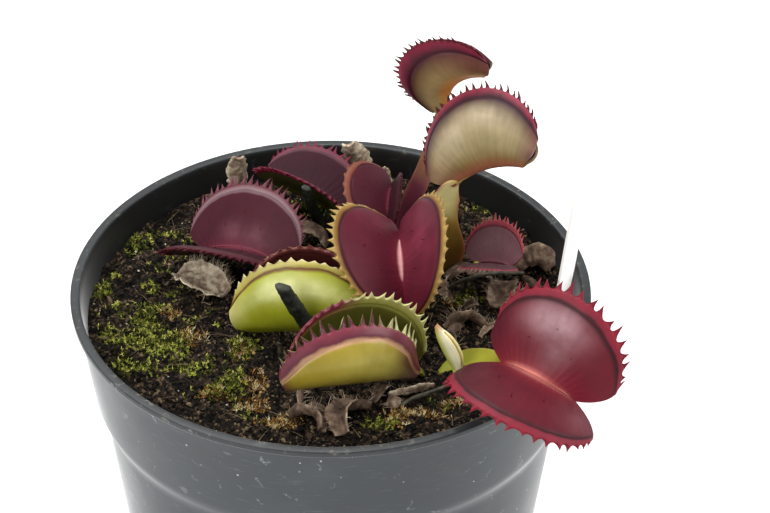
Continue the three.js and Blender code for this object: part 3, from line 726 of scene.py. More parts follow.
def disc_grid(count, radius):
    """A square grid squeezed into a disc, so that its cells stay nearly even. A point (a, b) of
    the square moves to the distance max(|a|, |b|) and to an angle in proportion along its side."""
    a, b = np.meshgrid(np.linspace(-1, 1, count), np.linspace(-1, 1, count), indexing="ij")
    wide = np.abs(a) > np.abs(b)
    reach = np.where(wide, a, b)
    share = np.where(wide, b, a) / np.where(reach == 0, 1, reach)
    angle = np.where(wide, share * math.pi / 4, math.pi / 2 - share * math.pi / 4)
    return radius * reach * np.cos(angle), radius * reach * np.sin(angle)


def soil_shell(count=220):
    """The fine top, a wall of rings that follows the inside of the pot, and a flat underside."""
    x, y = disc_grid(count, SOIL_RADIUS)
    top = np.stack([x, y, soil_height(x, y)], -1).reshape(-1, 3)
    edge = border(count, count)
    direction = unit(top[edge] * [1, 1, 0])
    wall = [(COLLAR_BOTTOM_RADIUS, COLLAR_BOTTOM_Z + 0.2),
            (COLLAR_BOTTOM_RADIUS - STEP_WIDTH, STEP_BOTTOM_Z), (BASE_RADIUS, FLOOR_THICKNESS + GAP)]
    rings = [direction * (radius - POT_WALL - GAP) + [0, 0, z] for radius, z in wall]
    points = np.concatenate([top, *rings, [[0, 0, FLOOR_THICKNESS + GAP]]])
    size = len(edge)
    numbers = [edge] + [len(top) + k * size + np.arange(size) for k in range(len(wall))]
    strips = [np.stack([a, np.roll(a, -1), np.roll(b, -1), b], -1)
              for a, b in zip(numbers, numbers[1:])]
    low = numbers[-1]
    fan = np.stack([np.full(size, len(points) - 1), low, np.roll(low, -1)], -1)
    quads = np.concatenate([grid_faces(count, count)[:, ::-1], *strips])
    cover = np.zeros(len(points))
    cover[:len(top)] = moss_cover(x, y).ravel()
    return shell(points, quads, fan, moss=cover)


soil_bed = soil_shell()
print("points in the bed:", len(soil_bed["points"]))

# %% Wet peat


def peat():
    """Wet peat: grains of two sizes, each with its own tone from black to tan, and almost no
    shine. The grains are the cells of Voronoi patterns. Under moss they are stained green."""
    material, tree = new_material("wet_peat")
    place = add_node(tree, "TexCoord").outputs["Object"]
    lumps = add_node(tree, "TexNoise", {
        "Vector": place, "Scale": per_mm(3), "Detail": 6, "Roughness": 0.65,
    })
    coarse = add_node(tree, "TexVoronoi", {"Vector": place, "Scale": per_mm(1.1)})
    fine = add_node(tree, "TexVoronoi", {"Vector": place, "Scale": per_mm(0.55)})
    tone = lumps.outputs["Fac"]
    for grains, share in ((coarse, 0.3), (fine, 0.34)):
        drawn = add_node(tree, "SeparateColor", {"Color": grains.outputs["Color"]}).outputs[0]
        tone = add_node(tree, "Mix", {0: share, NUMBER_A: tone, NUMBER_B: drawn}).outputs[0]
    body = add_node(tree, "ValToRGB", {"Fac": tone}, stops=[
        (0.3, "#060505"), (0.48, "#13100d"), (0.6, "#282019"), (0.7, "#48392b"), (0.8, "#7d6d55"),
    ])
    green = add_node(tree, "ValToRGB", {"Fac": tone}, stops=[
        (0.3, "#0e0f08"), (0.5, "#26270f"), (0.65, "#4a4a1d"), (0.8, "#7d7a3e"),
    ])
    moss = add_node(tree, "Attribute", attribute_name="moss")
    moss = add_node(tree, "MapRange", {"Value": moss.outputs["Fac"], "From Min": 0.1, "From Max": 0.6})
    body = add_node(tree, "Mix", {
        0: moss.outputs[0], MIX_A: body.outputs["Color"], MIX_B: green.outputs["Color"],
    }, data_type="RGBA")
    relief = add_node(tree, "Math", {
        0: coarse.outputs["Distance"], 1: fine.outputs["Distance"],
    }, operation="ADD")
    bump = add_node(tree, "Bump", {
        "Height": relief.outputs[0], "Strength": 0.8, "Distance": 0.3 * MM,
    }, invert=True)
    surface = add_node(tree, "BsdfPrincipled", {
        "Base Color": body.outputs[MIX_RESULT], "Roughness": 0.9, "IOR": 1.4,
        "Specular IOR Level": 0.15, "Normal": bump.outputs[0],
    })
    add_node(tree, "OutputMaterial", {"Surface": surface.outputs[0]})
    return material


make_piece("peat_bed", [soil_bed], peat(), nodes=["soil"])

# %% [markdown]
# ## Crumbs, fibres and moss
#
# What is loose on the peat gives it its scale. Each kind is one mesh of small closed shapes,
# placed by seeded draws, so that every run gives the same bed. A number from 0 to 1 on each
# shape picks its colour from a ramp.

# %% A material that takes its colour from the draw


def drawn_colours(name, colours, roughness):
    """A matt natural finish whose colour runs along a ramp with the shape's own draw."""
    material, tree = new_material(name)
    place = add_node(tree, "TexCoord").outputs["Object"]
    draw = add_node(tree, "Attribute", attribute_name="draw")
    stops = [((k + 0.5) / len(colours), colour) for k, colour in enumerate(colours)]
    body = add_node(tree, "ValToRGB", {"Fac": draw.outputs["Fac"]}, stops=stops)
    patches = add_node(tree, "TexNoise", {"Vector": place, "Scale": per_mm(0.7), "Detail": 3})
    shade = add_node(tree, "MapRange", {
        "Value": patches.outputs["Fac"], "From Min": 0.3, "From Max": 0.7, "To Min": 0.65, "To Max": 1.2,
    })
    body = add_node(tree, "VectorMath", {0: body.outputs["Color"], 1: shade.outputs[0]},
                    operation="MULTIPLY")
    surface = add_node(tree, "BsdfPrincipled", {
        "Base Color": body.outputs[0], "Roughness": roughness, "IOR": 1.4, "Specular IOR Level": 0.2,
    })
    add_node(tree, "OutputMaterial", {"Surface": surface.outputs[0]})
    return material


# %% Places on the soil

# How many places are drawn for each that is wanted
TRIES = 40


def scattered(generator, count, cover, reach=SOIL_RADIUS - 0.8):
    """Places on the soil, drawn evenly over the disc and kept where the cover is above a draw."""
    radius = reach * np.sqrt(generator.uniform(size=TRIES * count))
    angle = generator.uniform(0, 2 * math.pi, TRIES * count)
    x, y = radius * np.cos(angle), radius * np.sin(angle)
    kept = np.flatnonzero(generator.uniform(size=len(x)) < cover(x, y))[:count]
    return np.stack([x[kept], y[kept], soil_height(x[kept], y[kept])], -1)


# %% Crumbs and fibres

CRUMBS, CHIPS, FIBRES, GRIT = 2600, 8000, 900, 130


def anywhere(x, y):
    """The same cover all over the soil."""
    return np.full_like(x + y, 0.5)


draws = np.random.default_rng(7)
crumb_places = scattered(draws, CRUMBS, anywhere)
crumb_sizes = 0.16 + 0.44 * draws.uniform(size=CRUMBS) ** 3
crumb_places[:, 2] += 0.4 * crumb_sizes
crumb_shell = crumbs(
    draws, crumb_places, crumb_sizes, stretch=1.5, draw=draws.uniform(size=CRUMBS))
chip_places = scattered(draws, CHIPS, anywhere)
chip_sizes = draws.uniform(0.14, 0.34, CHIPS)
chip_places[:, 2] += 0.3 * chip_sizes
chip_shell = crumbs(
    draws, chip_places, chip_sizes, CHIP, 1.3, draw=draws.uniform(size=CHIPS) ** 0.8)
fibre_places = scattered(draws, FIBRES, anywhere)
fibre_turn = draws.uniform(0, 2 * math.pi, FIBRES)
fibre_length = draws.uniform(1.2, 5, FIBRES)
fibre_tips = fibre_places + fibre_length[:, None] * np.stack([
    np.cos(fibre_turn), np.sin(fibre_turn), draws.uniform(-0.06, 0.22, FIBRES)], -1)
# A tip that would pass the edge of the soil is drawn in
tip_reach = np.linalg.norm(fibre_tips[:, :2], axis=1, keepdims=True)
fibre_tips[:, :2] *= np.minimum(1, (SOIL_RADIUS - 0.6) / tip_reach)
fibre_shell = spikes(
    fibre_places + [0, 0, 0.3], fibre_tips + [0, 0, 0.25], draws.uniform(0.05, 0.12, FIBRES),
    sag=0.25, draw=draws.uniform(0.3, 1, FIBRES))
make_piece("peat_crumbs", [crumb_shell, chip_shell, fibre_shell], drawn_colours("peat_crumbs", [
    "#080807", "#100e0c", "#191612", "#231d17", "#30271f", "#48392c", "#6e5f48"], 0.9),
    smooth_angle=30)

grit_places = scattered(draws, GRIT, anywhere)
grit_sizes = draws.uniform(0.1, 0.24, GRIT)
grit_places[:, 2] += grit_sizes
make_piece("pale_grit", [crumbs(draws, grit_places, grit_sizes, draw=draws.uniform(size=GRIT))],
           drawn_colours("pale_grit", ["#6f6650", "#a49b84", "#cfc9b8"], 0.7), smooth_angle=30)

# %% Moss and golden tufts


def moss_shoots(generator, places, tall, leaflets, length, radius):
    """Small shoots: each is a ring of leaflets that lean outwards from a point over the soil.
    A leaflet leans by a drawn angle, from nearly upright to nearly flat."""
    count = len(places)
    turn = generator.uniform(0, 2 * math.pi, (count, leaflets))
    turn = turn + round_angles(leaflets)
    lean = generator.uniform(0.3, 1.35, (count, leaflets))
    size = length * generator.uniform(0.6, 1.2, (count, leaflets))
    height = tall * generator.uniform(0.0, 1.0, (count, leaflets))
    base = places[:, None] + np.stack([0 * turn, 0 * turn, height], -1)
    flat = np.sin(lean)
    direction = np.stack([flat * np.cos(turn), flat * np.sin(turn), np.cos(lean)], -1)
    tip = base + size[..., None] * direction
    draw = generator.uniform(size=(count, 1)) + generator.normal(0, 0.12, (count, leaflets))
    return spikes(base.reshape(-1, 3), tip.reshape(-1, 3), radius, flat=0.35, sides=3,
                  draw=np.clip(draw, 0, 1).ravel())


moss_places = scattered(draws, 2300, lambda x, y: moss_cover(x, y) ** 1.3)
make_piece("moss", [moss_shoots(draws, moss_places, 0.6, 6, 0.62, 0.11)],
           drawn_colours("moss_leaflets", [
               "#191e0b", "#2c3210", "#4b501a", "#6e7426", "#989e3e", "#c0c060"], 0.8))

# Dead moss, gold to rust, grows in tufts: centre x and y, half width and half depth, in mm
TUFTS = (
    (-13.4, -26.4, 3, 2.2), (-8.4, -31, 3.6, 1.6), (11, -30.4, 2.8, 2), (16.4, -29.4, 3, 1.2),
    (-19.6, -24.6, 3, 1.6), (-15.2, -12.4, 1.8, 2.4), (-28, -2, 2, 1.4), (-12.4, -20.6, 2, 2.6),
    (20.4, -26.8, 1.8, 1.2), (21, 1, 1.6, 1.2), (-24, -9, 2.4, 1.6), (17.6, 8, 1.6, 1.4),
)


def tuft_cover(x, y):
    """The strongest of the golden tufts, each an exp(-d^2) hump over its ellipse."""
    humps = [np.exp(-((x - a) / wide) ** 2 - ((y - b) / deep) ** 2) for a, b, wide, deep in TUFTS]
    return np.clip(1.3 * np.max(humps, axis=0) - 0.25, 0, 1)


tuft_places = scattered(draws, 560, tuft_cover)
tuft_crumbs = scattered(draws, 1300, tuft_cover)
make_piece("golden_tufts", [
    moss_shoots(draws, tuft_places, 0.5, 7, 1.05, 0.075),
    crumbs(draws, tuft_crumbs + [0, 0, 0.2], draws.uniform(0.14, 0.36, len(tuft_crumbs)), CHIP,
           draw=draws.uniform(0, 0.75, len(tuft_crumbs))),
], drawn_colours("dry_moss", [
    "#362311", "#603f1b", "#87602e", "#aa8344", "#ccaf76", "#eadfb2"], 0.85))

# %% [markdown]
# ## The plant label
#
# The label is a thin strip cut from white polystyrene sheet, pointed at the foot and rounded at
# the top. It is blank. Its outline is one width at each height, and a thin rounded section is
# carried up it.

# %% The label

LABEL_WIDTH = 12
LABEL_THICKNESS = 0.8
LABEL_TOP = 41
LABEL_DEPTH = 10
LABEL_TAPER_END = 9
LABEL_POINT = 0.6
LABEL_FOOT = np.array([38.9, -5.5, 67])
LABEL_LEAN = math.radians(6.2)
LABEL_TURN = math.radians(71)
LABEL_CORNER = 1.5
LABEL_SIDES = 32
STAIN_TOP, STAIN_FOOT = 76, 66


def turned_pair(a, b, angle):
    """Two coordinates turned by an angle: (a cos - b sin, a sin + b cos)."""
    return a * math.cos(angle) - b * math.sin(angle), a * math.sin(angle) + b * math.cos(angle)


def label_shell():
    """Half the width grows evenly up the point, stays the same, and follows a quarter circle at
    the top. Each ring is a flat section with rounded edges, |x|^8 + |y|^(10/3) = 1 in its own
    units. The label is turned about z and then leans to the right."""
    corner_z = LABEL_TOP - LABEL_CORNER
    height = np.concatenate([
        np.linspace(-LABEL_DEPTH, LABEL_TAPER_END, 14),
        np.linspace(LABEL_TAPER_END + 1, corner_z, 20)[:-1],
        corner_z + LABEL_CORNER * np.sin(np.linspace(0, math.pi / 2, 12)),
    ])
    over = np.clip((height - LABEL_TOP + LABEL_CORNER) / LABEL_CORNER, 0, 1)
    half = np.interp(height, [-LABEL_DEPTH, LABEL_TAPER_END], [LABEL_POINT, LABEL_WIDTH / 2])
    half = half - LABEL_CORNER * (1 - np.sqrt(1 - over ** 2))
    angle = round_angles(LABEL_SIDES)
    across = np.sign(np.cos(angle)) * np.abs(np.cos(angle)) ** 0.25
    through = LABEL_THICKNESS / 2 * np.sign(np.sin(angle)) * np.abs(np.sin(angle)) ** 0.6
    x = half[:, None] * across
    y = -np.broadcast_to(through, x.shape)
    z = np.broadcast_to(height[:, None], x.shape)
    x, y = turned_pair(x, y, LABEL_TURN)
    x, z = turned_pair(x, z, -LABEL_LEAN)
    return rod_shell(np.stack([x, y, z], -1) + LABEL_FOOT)


print("label in mm:", LABEL_WIDTH, "by", LABEL_THICKNESS, "by", LABEL_TOP + LABEL_DEPTH)

# %% White polystyrene


def polystyrene():
    """White polystyrene sheet: IOR 1.59 and a soft gloss. Splashes leave a few brown specks, the
    rare cells of a Voronoi pattern, and a faint stain above the soil."""
    material, tree = new_material("white_polystyrene")
    place = add_node(tree, "TexCoord").outputs["Object"]
    height = add_node(tree, "SeparateXYZ", {"Vector": place}).outputs["Z"]
    smear = add_node(tree, "TexNoise", {"Vector": place, "Scale": per_mm(3), "Detail": 5})
    cells = add_node(tree, "TexVoronoi", {"Vector": place, "Scale": per_mm(3.4)})
    drawn = add_node(tree, "SeparateColor", {"Color": cells.outputs["Color"]}).outputs[1]
    low, spot, rare = (add_node(tree, "MapRange", dict(zip(RANGE_SOCKETS, numbers))).outputs[0]
                       for numbers in ((height, STAIN_TOP * MM, STAIN_FOOT * MM, 0.0, 0.5),
                                       (cells.outputs["Distance"], 0.17, 0.1),
                                       (drawn, 0.8, 0.86, 0.0, 0.9)))
    body = "#f4f2ee"
    for first, second, colour in ((low, smear.outputs["Fac"], "#8c7d64"), (spot, rare, "#5d5240")):
        share = add_node(tree, "Math", {0: first, 1: second}, operation="MULTIPLY").outputs[0]
        body = add_node(tree, "Mix", {0: share, MIX_A: body, MIX_B: colour},
                        data_type="RGBA").outputs[MIX_RESULT]
    surface = add_node(tree, "BsdfPrincipled", {"Base Color": body, "Roughness": 0.38, "IOR": 1.59})
    add_node(tree, "OutputMaterial", {"Surface": surface.outputs[0]})
    return material


make_piece("blank_label", [label_shell()], polystyrene(), nodes=["plant_label"])

# %% [markdown]
# ## The traps
#
# A trap is one grown sheet: two lobes that meet at a midrib, with a toothed margin. Its middle
# surface is a formula of two numbers. One runs along the midrib, the other from the midrib to
# the margin and on into the teeth. The sheet then gets its thickness from its own normals,
# with a groove inside the margin, faint ribs, and a keel under the midrib.

# %% Where each leaf stands
# A trap runs from base to tip and opens towards face. wide is a lobe's reach, long its length
# and low the share of wide that its two ends keep. arch bends the midrib, in degrees. right and
# left give the angles of a lobe's root and margin from face, its shift towards the tip, and its
# shares of the length and of the reach. A stalk's stops are x, y, z, half width and thickness.

LEAVES = {
    "leaf_right": {
        "base": [28.5, -29, 77.5], "tip": [39.3, -36.7, 76], "face": [-0.2, -0.47, 0.86],
        "wide": 14.9, "long": 23, "low": 0.32, "arch": 66, "lip": 14, "tooth": 1.7, "teeth": 20,
        "right": (44, 55, 0.5, 1, 1), "left": (63, 63, 0, 1, 1),
        "stops": [[18.4, -17.4, 60, 0.8, 0.6], [18.5, -17.5, 66.6, 0.95, 0.6], [20, -17.3, 68, 1.3, 0.5],
                  [22.2, -17.1, 69.2, 1.7, 0.5], [24.3, -18.8, 70.8, 1.8, 0.5],
                  [26.6, -22.1, 73.2, 1.6, 0.5], [28, -25.8, 75.6, 0.8, 0.6]],
    },
    "leaf_heart": {
        "base": [12.5, -7.1, 75.3], "tip": [11.9, 3, 79.6], "face": [-0.06, -0.4, 0.92],
        "wide": 14.2, "long": 19.2, "low": 0.1, "arch": 60, "lip": 10, "tooth": 1.1, "teeth": 18,
        "right": (29, 35, 0.3, 1, 1), "left": (45, 56, 1.4, 1, 1),
        "stops": [[13.4, -9.4, 60, 0.8, 0.6], [13.3, -9.4, 67, 1, 0.6], [13, -9, 71, 1.4, 0.5],
                  [12.7, -8, 74, 0.75, 0.6]],
    },
    "leaf_back_left": {
        "base": [-10.6, 8.2, 71.6], "tip": [-21.6, 14.1, 69.3], "face": [-0.19, 0.08, 0.98],
        "wide": 13, "long": 21, "low": 0.33, "arch": 36, "lip": 14, "tooth": 1.5, "teeth": 20,
        "right": (44, 44, 0.2, 1, 0.95), "left": (54, 54, 0.3, 1, 1),
        "stops": [[-3.2, 2.6, 60, 0.9, 0.6], [-3.4, 2.8, 66.5, 1.1, 0.6], [-5.2, 4, 70.4, 1.7, 0.5],
                  [-7.8, 5.8, 71.6, 1.3, 0.5], [-9.8, 7, 71.9, 0.75, 0.6]],
    },
    "leaf_back": {
        "base": [0.4, 24.3, 71.1], "tip": [-8.9, 29.1, 73.1], "face": [0.28, 0.15, 0.95],
        "wide": 9.6, "long": 17.3, "low": 0.32, "arch": 26, "lip": 14, "tooth": 1.3, "teeth": 16,
        "right": (47, 47, 0.4, 1, 1), "left": (50, 50, 0.4, 1, 1),
        "stops": [[5.6, 16.4, 60, 0.8, 0.6], [5.4, 16.6, 66.6, 1, 0.6], [4.2, 18.4, 69.8, 1.7, 0.5],
                  [2.4, 21.4, 70.6, 1.5, 0.5], [1, 23.7, 71, 0.75, 0.6]],
    },
    "leaf_back_small": {
        "base": [10.1, 14, 76.6], "tip": [10.8, 19.6, 78.6], "face": [-0.18, -0.31, 0.93],
        "wide": 9.4, "long": 12.4, "low": 0.27, "arch": 49, "lip": 10, "tooth": 0.9, "teeth": 12,
        "right": (34, 36, 0, 0.9, 0.46), "left": (42, 52, 0.6, 1, 1),
        "stops": [[9.4, 11.6, 60, 0.8, 0.6], [9.4, 11.6, 67, 1, 0.6], [9.7, 12.2, 71.4, 1.4, 0.5],
                  [10, 13.4, 75.4, 0.7, 0.6]],
    },
    "leaf_top": {
        "base": [20, 26.7, 92.5], "tip": [26.6, 22.9, 100.9], "face": [-0.72, 0.23, 0.66],
        "wide": 11.6, "long": 13.8, "low": 0.26, "arch": 80, "lip": 8, "tooth": 1.2, "teeth": 16,
        "right": (60, -40, -0.2, 1, 1), "left": (56, -75, 0, 0.92, 1), "stalk_across": [1, -0.2, 0],
        "stops": [[11.8, 20, 60, 0.9, 0.6], [12, 20.2, 67, 1.1, 0.6], [14.4, 21.6, 74.8, 1.7, 0.5],
                  [16.9, 24.4, 79.8, 1.6, 0.5], [18.7, 26.6, 86.2, 1.2, 0.5],
                  [19.7, 26.9, 91.3, 0.75, 0.6]],
    },
    "leaf_tall": {
        "base": [21, 11, 86], "tip": [32.9, 6.5, 93.3], "face": [-0.14, 0.74, 0.66],
        "wide": 15.2, "long": 19.8, "low": 0.32, "arch": 45, "lip": 8, "tooth": 1.3, "teeth": 20,
        "right": (52, -46, -0.2, 0.96, 1), "left": (56, -62, -1.5, 0.9, 1), "stalk_across": [1, 0.15, 0],
        "stops": [[20.6, 10.2, 60, 1.1, 0.6], [20.6, 10.3, 66.5, 1.5, 0.6], [21.2, 10.6, 72, 2.3, 0.5],
                  [20.8, 10.9, 78, 1.4, 0.6], [19.9, 11, 82.4, 2.5, 0.6], [20.8, 11, 85.4, 1.6, 0.8]],
    },
    "leaf_green": {
        "base": [1.8, -9, 69.9], "tip": [-14, -6.6, 67.9], "face": [-0.1, 0.25, 0.96],
        "wide": 16.4, "long": 23, "low": 0.36, "arch": 6, "lip": 8, "tooth": 0.8, "teeth": 18,
        "right": (58, -46, -2.5, 0.9, 1), "left": (66, -44, -2, 1, 1),
        "stops": [[7.6, -9.2, 60, 0.9, 0.6], [7.4, -9.2, 66.4, 1.1, 0.6], [5.6, -9.2, 69.4, 1.3, 0.55],
                  [2.8, -9.1, 69.9, 0.75, 0.6]],
    },
    "leaf_front": {
        "base": [11.2, -21.7, 69.6], "tip": [-4.7, -27.4, 72.3], "face": [0.06, 0.02, 1],
        "wide": 17, "long": 22.6, "low": 0.28, "arch": 22, "lip": 8, "tooth": 1.6, "teeth": 18,
        "right": (46, -42, -0.6, 1, 1), "left": (82, -70, 1.2, 1, 0.9),
        "stops": [[15.6, -17.2, 60, 0.9, 0.6], [15.4, -17.6, 66.2, 1.1, 0.6], [14.2, -19.4, 69, 1.3, 0.55],
                  [12, -21.2, 69.6, 0.75, 0.6]],
    },
    "leaf_right_small": {
        "base": [26, 8, 70.6], "tip": [31.2, 4.6, 72.6], "face": [-0.36, 0.03, 0.93],
        "wide": 8, "long": 11.6, "low": 0.32, "arch": 13, "lip": 12, "tooth": 0.9, "teeth": 14,
        "right": (60, 60, 0, 1, 0.62), "left": (45, 45, -0.6, 1, 1),
        "stops": [[25.2, 9.6, 60, 0.7, 0.6], [25.2, 9.6, 66.4, 0.8, 0.6], [25.3, 9.2, 69, 0.9, 0.5],
                  [25.6, 8.4, 70.4, 0.7, 0.6]],
    },
    "leaf_bud": {
        "base": [21.6, -20.1, 69], "tip": [17.8, -19.1, 77.6], "face": [0.75, -0.5, 0.3],
        "wide": 2.6, "long": 8, "low": 0.08, "arch": -14, "lip": 0, "tooth": 0.5, "teeth": 8,
        "right": (46, -30, 0, 1, 1), "left": (46, -30, 0, 1, 1),
        "stops": [[20.6, -20.8, 60, 0.6, 0.6], [20.6, -20.8, 66, 0.7, 0.6], [21.2, -20.5, 68.2, 0.6, 0.6]],
    },
}
print("leaves:", len(LEAVES))

# %% The middle surface of a trap

LIP_START = 0.86
LIP_ROUNDING = 0.03
MIDRIB_ROUNDING = 0.05
# The margin runs this far round its ellipse, in degrees from the tip's end
MARGIN_FROM, MARGIN_TO = 176, 4
END_HOLLOW = 0.1


def trap_axes(leaf):
    """The length of the midrib's chord, its middle, and three axes: along it, the way the trap
    opens, and across."""
    base, tip, face = (np.array(leaf[key], float) for key in ("base", "tip", "face"))
    along = unit(tip - base)
    face = unit(face - along * (face @ along))
    return np.linalg.norm(tip - base), (base + tip) / 2, along, face, np.cross(along, face)


def lobe_points(leaf, side, u, v):
    """Points of a lobe. u runs from 0 to 1 along the midrib, which is an arc of arch degrees,
    and v from 0 at the midrib to 1 at the margin, which is part of an ellipse. A line of
    constant u curls about the midrib: its angle from the face axis grows evenly from the root
    angle to the margin angle, so its rise is r (sin b - sin a) / (b - a) and its reach
    r (cos a - cos b) / (b - a). Both ends bulge by END_HOLLOW of the length half way out. Past
    LIP_START a narrow lip turns outwards."""
    length, middle, along, face, across = trap_axes(leaf)
    root, margin, slide, scale, share = leaf["right" if side > 0 else "left"]
    arch = math.radians(leaf["arch"])
    turn = arch * (u - 0.5)
    bend_radius = length / (2 * math.sin(arch / 2))
    sine, cosine = np.sin(turn)[..., None], np.cos(turn)[..., None]
    turned_along, turned_face = cosine * along - sine * face, sine * along + cosine * face
    rise_of_arc = bend_radius * (cosine - math.cos(arch / 2))
    midrib = middle + bend_radius * sine * along + rise_of_arc * face
    low = leaf["low"] * leaf["wide"]
    sweep = np.radians(MARGIN_FROM + (MARGIN_TO - MARGIN_FROM) * u)
    margin_along = slide + scale * leaf["long"] / 2 * np.cos(sweep)
    reach_of_margin = share * (low + (leaf["wide"] - low) * np.sin(sweep))
    hollow = END_HOLLOW * length * (2 * u - 1) ** 5 * 4 * v * (1 - v)
    shift = v * (margin_along - length * (u - 0.5)) + hollow
    lip = 0.5 * (v - LIP_START + np.sqrt((v - LIP_START) ** 2 + LIP_ROUNDING ** 2))
    curled = v - lip
    risen = np.sqrt(curled ** 2 + MIDRIB_ROUNDING ** 2) - MIDRIB_ROUNDING
    a = math.radians(root)
    curl = math.radians(margin - root) or 1e-4
    rise = reach_of_margin * (np.sin(a + curl * risen) - math.sin(a)) / curl
    reach = reach_of_margin * (math.cos(a) - np.cos(a + curl * curled)) / curl
    lip_angle = a + curl * LIP_START + math.radians(leaf["lip"])
    rise = rise + reach_of_margin * lip * math.cos(lip_angle)
    reach = reach + reach_of_margin * lip * math.sin(lip_angle)
    return (midrib + turned_along * shift[..., None] + turned_face * rise[..., None]
            + across * side * reach[..., None])


print("midribs in mm:", {name: round(float(trap_axes(leaf)[0]), 1) for name, leaf in LEAVES.items()})

# %% Rows and columns of a lobe

COLUMNS_PER_TOOTH = 12
TOOTH_ROWS = np.array([0.22, 0.46, 0.72, 1.0])
GROOVE_ZONE = 0.9
LOBE_ZONES = np.array([
    0.025, 0.06, 0.11, 0.18, 0.27, 0.37, 0.47, 0.57, 0.67, 0.75,
    0.81, 0.85, 0.875, 0.89, 0.9, 0.91, 0.925, 0.95, 0.975, 1.0,
])


def groove_line(look, side, u):
    """Where the groove inside the margin lies, as a share of the reach. It may be a row of
    places from base to tip, and the far lobe may have its own."""
    on_far = side == look.get("far")
    groove = np.atleast_1d(look.get("far_groove", look["groove"]) if on_far else look["groove"])
    return np.interp(u, np.linspace(0, 1, len(groove)), groove)


def reach_at(zone, groove):
    """The zone is 0 at the midrib, 0.9 at the groove, 1 at the margin and 2 at a tooth's tip,
    wherever the groove lies. This gives the share of the reach: even steps in each of the three."""
    inside = groove * zone / GROOVE_ZONE
    outside = groove + (1 - groove) * (zone - GROOVE_ZONE) / (1 - GROOVE_ZONE)
    return np.where(zone < GROOVE_ZONE, inside, np.where(zone > 1, zone, outside))


def tooth_columns(count):
    """Where the columns stand along the midrib, from 0 to 1. They crowd towards the middle of
    each tooth, where its point is."""
    step = np.linspace(-1, 1, COLUMNS_PER_TOOTH + 1)[:-1]
    place = 0.5 + 0.5 * np.sign(step) * np.abs(step) ** 1.5
    return np.append(((np.arange(count)[:, None] + place) / count).ravel(), 1.0)


print("columns across 20 teeth:", len(tooth_columns(20)))

# %% Teeth

TOOTH_POWER = 1.9
TOOTH_BEND = 0.3


def tooth_heights(leaf, side, u, look):
    """How far the margin is drawn out at each column. Over one tooth w runs from 1 in the notch
    to 0 at the tip, and the height is (1 - w) to a power, so that its sides are hollow. Teeth
    differ, shrink towards both ends of the lobe, and change in length from base to tip."""
    count = look.get("teeth", leaf["teeth"])
    number = np.minimum(np.floor(u * count), count - 1)
    w = np.abs(u * count - number - 0.5) * 2
    uneven = 1 + 0.2 * np.sin(2.4 * number + side) + 0.14 * np.sin(5.1 * number)
    at_ends = 0.5 + 0.5 * np.sin(math.pi * np.clip(u, 0.02, 0.98)) ** 0.6
    base_share, tip_share = look.get("teeth_right" if side > 0 else "teeth_left", (1.25, 1.25))
    length = leaf["tooth"] * uneven * at_ends * (base_share + (tip_share - base_share) * u)
    power = np.interp(u, [0, 1], np.broadcast_to(look.get("tooth_power", TOOTH_POWER), 2))
    return 0.05 + length * (1 - w) ** power


def trap_rows(leaf, side, u, look):
    """The rows of one lobe from the midrib outwards, with the teeth's rows after the margin.
    A tooth runs on outwards, leans away from the other lobe, and bends a little to one side."""
    v = reach_at(LOBE_ZONES[:, None], groove_line(look, side, u))
    surface = lobe_points(leaf, side, u + 0 * v, v)
    outward = unit(surface[-1] - surface[-3])
    onward = unit(np.gradient(surface[-1], axis=0))
    height = tooth_heights(leaf, side, u, look)
    number = np.floor(np.minimum(u, 0.999) * look.get("teeth", leaf["teeth"]))
    bend = onward * (TOOTH_BEND * np.sin(3.7 * number + 2 * side))[:, None]
    lean = trap_axes(leaf)[4] * side * look.get("lean", 0.0)
    share = TOOTH_ROWS[:, None, None]
    teeth = surface[-1] + share * height[:, None] * (outward + share * (bend + lean))
    return np.concatenate([surface, teeth])


print("rows of a lobe:", len(LOBE_ZONES), "and of its teeth:", len(TOOTH_ROWS))

# %% Thickness, ribs and groove

# The sheet's thickness in mm at each share of the reach: 1 is the margin and 2 a tooth's tip
THICKNESS_AT = [0, 0.08, 0.5, 0.9, 1, 2]
THICKNESS = [1.1, 0.85, 0.75, 0.6, 0.46, 0.1]
GROOVE_WIDTH = 0.016
GROOVE_DEPTH = 0.12
RIB_HEIGHT, RIB_WIDTH = 0.4, 0.65
KEEL_HEIGHT, KEEL_WIDTH = 0.35, 0.9
FINE_RIBS, FINE_RIB_HEIGHT = 17, 0.012
WAVE_HEIGHT = 0.18


def patches_on(look, u, zone):
    """How strong the painted sheen is: soft round patches of painted highlight, each at its own place
    on one lobe. The zone is below 0 on the left lobe."""
    strength = np.zeros(zone.shape)
    for lobe, along_at, across_at, long, wide, amount in look.get("painted_sheen_at", ()):
        hump = np.exp(-((u - along_at) / long) ** 2 - ((np.abs(zone) - across_at) / wide) ** 2)
        strength = np.maximum(strength, amount * hump * (zone * lobe > 0))
    return strength * np.clip((GROOVE_ZONE - 0.01 - np.abs(zone)) / 0.03, 0, 1)


